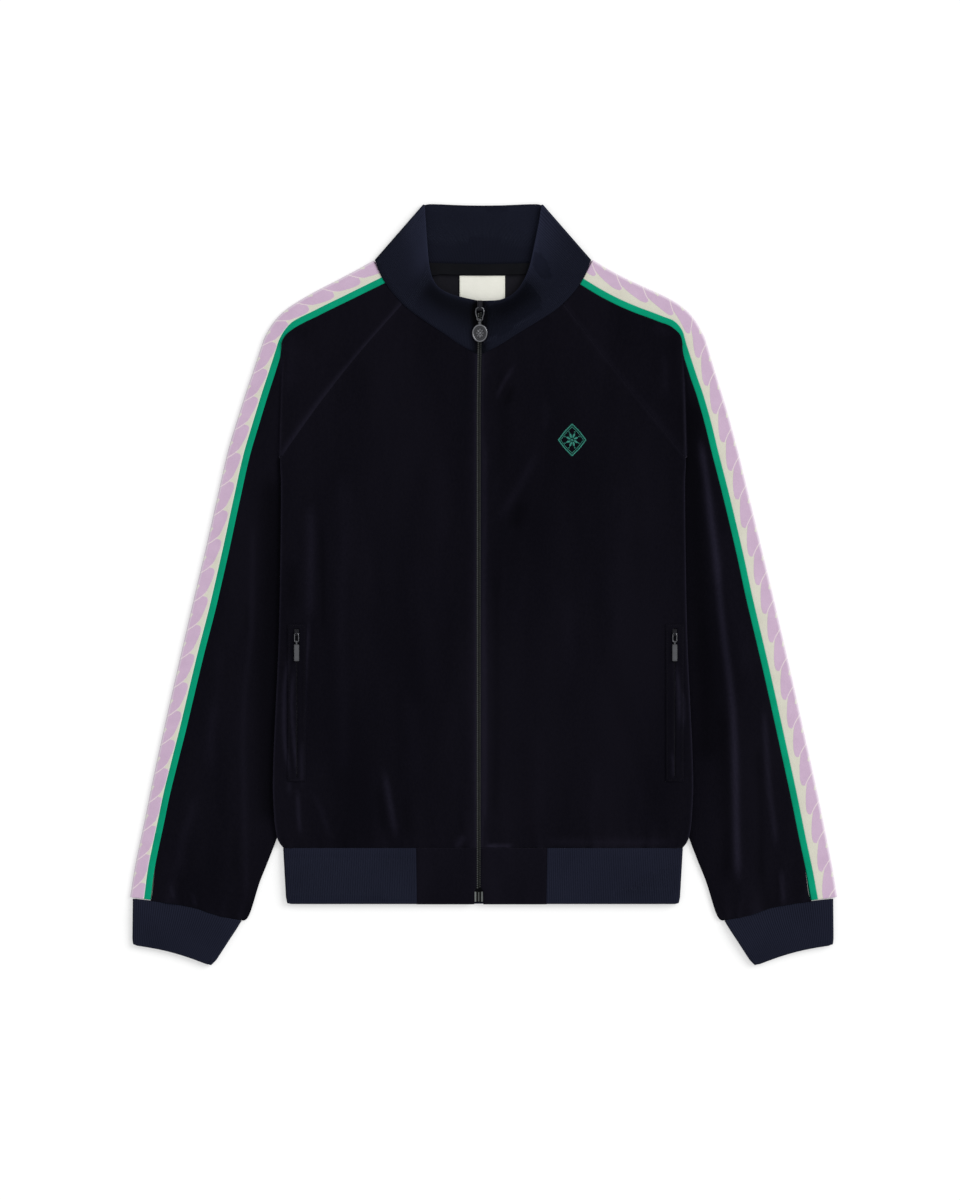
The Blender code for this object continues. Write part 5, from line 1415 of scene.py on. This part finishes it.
def sew_pocket_zip(side_name, side):
    """A strip of tape under the slot, and the fine woven coil that shows between the lips."""
    middle = side * POCKET_X[side_name]
    y = np.linspace(POCKET_ZIP_TOP, POCKET_ZIP_BOTTOM, 56)[:, None]
    x = np.array([-2.5, -2.0, 0, 2.0, 2.5])[None, :]
    base = np.array([front_top_at[side_name](middle, v) for v in y[:, 0]])[:, None]
    z = base + 0.35 + POCKET_TAPE / 2 + 0 * x
    made = cloth("pocket_tape_" + side_name, middle + x + 0 * y, y + 0 * x, z, x + 0 * y, y + 0 * x,
                 POCKET_TAPE, ZIP_TAPE_LOOK, "pocket_zip_" + side_name)
    lines = []
    for v in np.arange(POCKET_ZIP_TOP - 12, POCKET_ZIP_BOTTOM + 1, -COIL_PITCH):
        level = float(np.interp(-v, -y[:, 0], base[:, 0])) + 0.85
        lines.append([(middle - 0.65, v, level), (middle + 0.45, v - 0.15, level)])
    name = "pocket_coil_" + side_name
    piece(name, stitch_mesh(name, lines, 0.9, 0.7, 0.85, 0.1), NAVY_THREAD)


for SIDE_NAME, SIDE in SIDES:
    sew_welt(SIDE_NAME, SIDE)
    sew_pocket_zip(SIDE_NAME, SIDE)

# %% [markdown]
# ## Chest embroidery
#
# The small motif on the wearer's left chest is satin stitch: close threads laid side by side over
# the velour.  It is a plain lozenge frame round an eight-petalled flower.  Each thread is a short
# tube, and `satin` lays them across a line at an even pitch.

# %% Embroidery
EMBLEM_AT, EMBLEM_SIZE = (99.7, 161.3), (32.0, 37.0)


def satin(path, width, pitch=0.55, slant=0.35):
    """Threads across a path of (x, y) places: pairs of ends, slanted a little along it."""
    path = np.array(path, float)
    run = walked(path)

    def place(at):
        return np.array([np.interp(at, run, path[:, k]) for k in (0, 1)])

    lines = []
    for at in np.arange(0, run[-1], pitch):
        way = unit(place(at + 0.3) - place(at - 0.3))
        reach = np.array((way[1], -way[0])) + slant * way
        half = (width(at / run[-1]) if callable(width) else width) / 2
        if half > 0.12:
            lines.append((place(at) - half * reach, place(at) + half * reach))
    return lines


def petal(share):
    """Width of a petal at a share of its length."""
    return 2.7 * math.sin(math.pi * share) ** 0.7


def embroider():
    half = np.array(EMBLEM_SIZE) / 2
    threads = []
    for scale, width in ((0.955, 1.5), (0.80, 0.8)):
        corners = [half * scale * (math.cos(a), math.sin(a)) for a in np.linspace(0, 2 * math.pi, 5)]
        for first, last in zip(corners, corners[1:]):
            threads += satin([first, (first + last) / 2 * 1.07, last], width)
    for a in np.arange(8) * math.pi / 4 + math.pi / 8:
        ray = np.array((math.cos(a) * 0.88, math.sin(a)))
        threads += satin([ray * 1.9, ray * 8.2], petal, 0.5)
        threads += satin([ray * 9.6 - (0.7, 0), ray * 9.6 + (0.7, 0)], 1.1, 0.5)
    threads += satin([(-1.0, 0.0), (1.0, 0.0)], 1.9, 0.45)
    lines = []
    for first, last in threads:
        places = [mix(first, last, t) + EMBLEM_AT for t in (0, 0.5, 1)]
        lines.append([(x, y, front_top_at["left"](x, y, 0.30)) for x, y in places])
    return lines


EMBROIDERY = embroider()


def thread_mesh(name, lines, thick):
    """Four-sided threads, each over three places and thinner at its two ends."""
    up = np.array((0, 0, 1.0))
    tubes = []
    for line in np.array(lines):
        side_way = np.cross(unit(line[-1] - line[0]), up)
        tubes.append([ring_of(place + lift * up, side_way, up, thick / 2 * girth, 4, math.pi / 4)
                      for place, girth, lift in zip(line, (0.55, 1.0, 0.55), (-0.22, 0.12, -0.22))])
    mesh = tubes_mesh(name, tubes)
    mesh.shade_smooth()
    return mesh


piece("chest_embroidery", thread_mesh("chest_embroidery", EMBROIDERY, 0.62), TEAL_THREAD, ("emblem",))
print("the embroidery has", len(EMBROIDERY), "threads")

# %% [markdown]
# ## Surface, light and camera
#
# A white table that glows a little from below, an even white surround and one large soft lamp from
# the upper right give the flat catalogue light.  The glow keeps the shadow at the lower left faint.
# The camera looks straight down.

# %% Stage
TABLE_HALF, TABLE_DROP = 4, 0.0003
LAMP_AT, LAMP_POWER, LAMP_SPREAD, SURROUND = (1.5, 0.8, 1.05), 2.15, 36, 0.80


def make_floor():
    mesh = bpy.data.meshes.new("floor")
    corners = [(x * TABLE_HALF, y * TABLE_HALF, 0) for x, y in ((-1, -1), (1, -1), (1, 1), (-1, 1))]
    mesh.from_pydata(corners, [], [(0, 1, 2, 3)])
    floor = bpy.data.objects.new("floor", mesh)
    bpy.context.scene.collection.objects.link(floor)
    floor.location.z = -TABLE_DROP
    table = Look("lit_white_table", Base_Color=(0.58, 0.58, 0.58, 1), Roughness=0.9,
                 Specular_IOR_Level=0.0, Emission_Color=(1, 1, 1, 1), Emission_Strength=0.375)
    mesh.materials.append(table.material)


def make_light():
    world = bpy.data.worlds.new("white_surround")
    bpy.context.scene.world = world
    world.use_nodes = True
    glow = world.node_tree.nodes["Background"].inputs
    glow["Color"].default_value = (1, 1, 1, 1)
    glow["Strength"].default_value = SURROUND
    lamp = bpy.data.lights.new("softbox", "SUN")
    lamp.energy, lamp.angle = LAMP_POWER, math.radians(LAMP_SPREAD)
    lamp_at = bpy.data.objects.new("softbox", lamp)
    lamp_at.location = LAMP_AT
    lamp_at.rotation_euler = (-Vector(LAMP_AT)).to_track_quat("-Z", "Y").to_euler()
    bpy.context.scene.collection.objects.link(lamp_at)


CAMERA_AT, FRAME_WIDTH, FRAME_LEVEL, SENSOR = (-0.00336, -0.01792, 4.0), 1.0752, 0.006, 36.0


def make_camera():
    """A camera over the table that sees FRAME_WIDTH metres at the level of the cloth."""
    camera = bpy.data.cameras.new("camera")
    camera.sensor_fit, camera.sensor_width = "HORIZONTAL", SENSOR
    camera.lens = SENSOR * (CAMERA_AT[2] - FRAME_LEVEL) / FRAME_WIDTH
    camera.clip_end = 50
    holder = bpy.data.objects.new("camera", camera)
    holder.location = CAMERA_AT
    bpy.context.scene.collection.objects.link(holder)
    bpy.context.scene.camera = holder


make_floor()
make_light()
make_camera()
bpy.context.scene.view_settings.view_transform = "Standard"
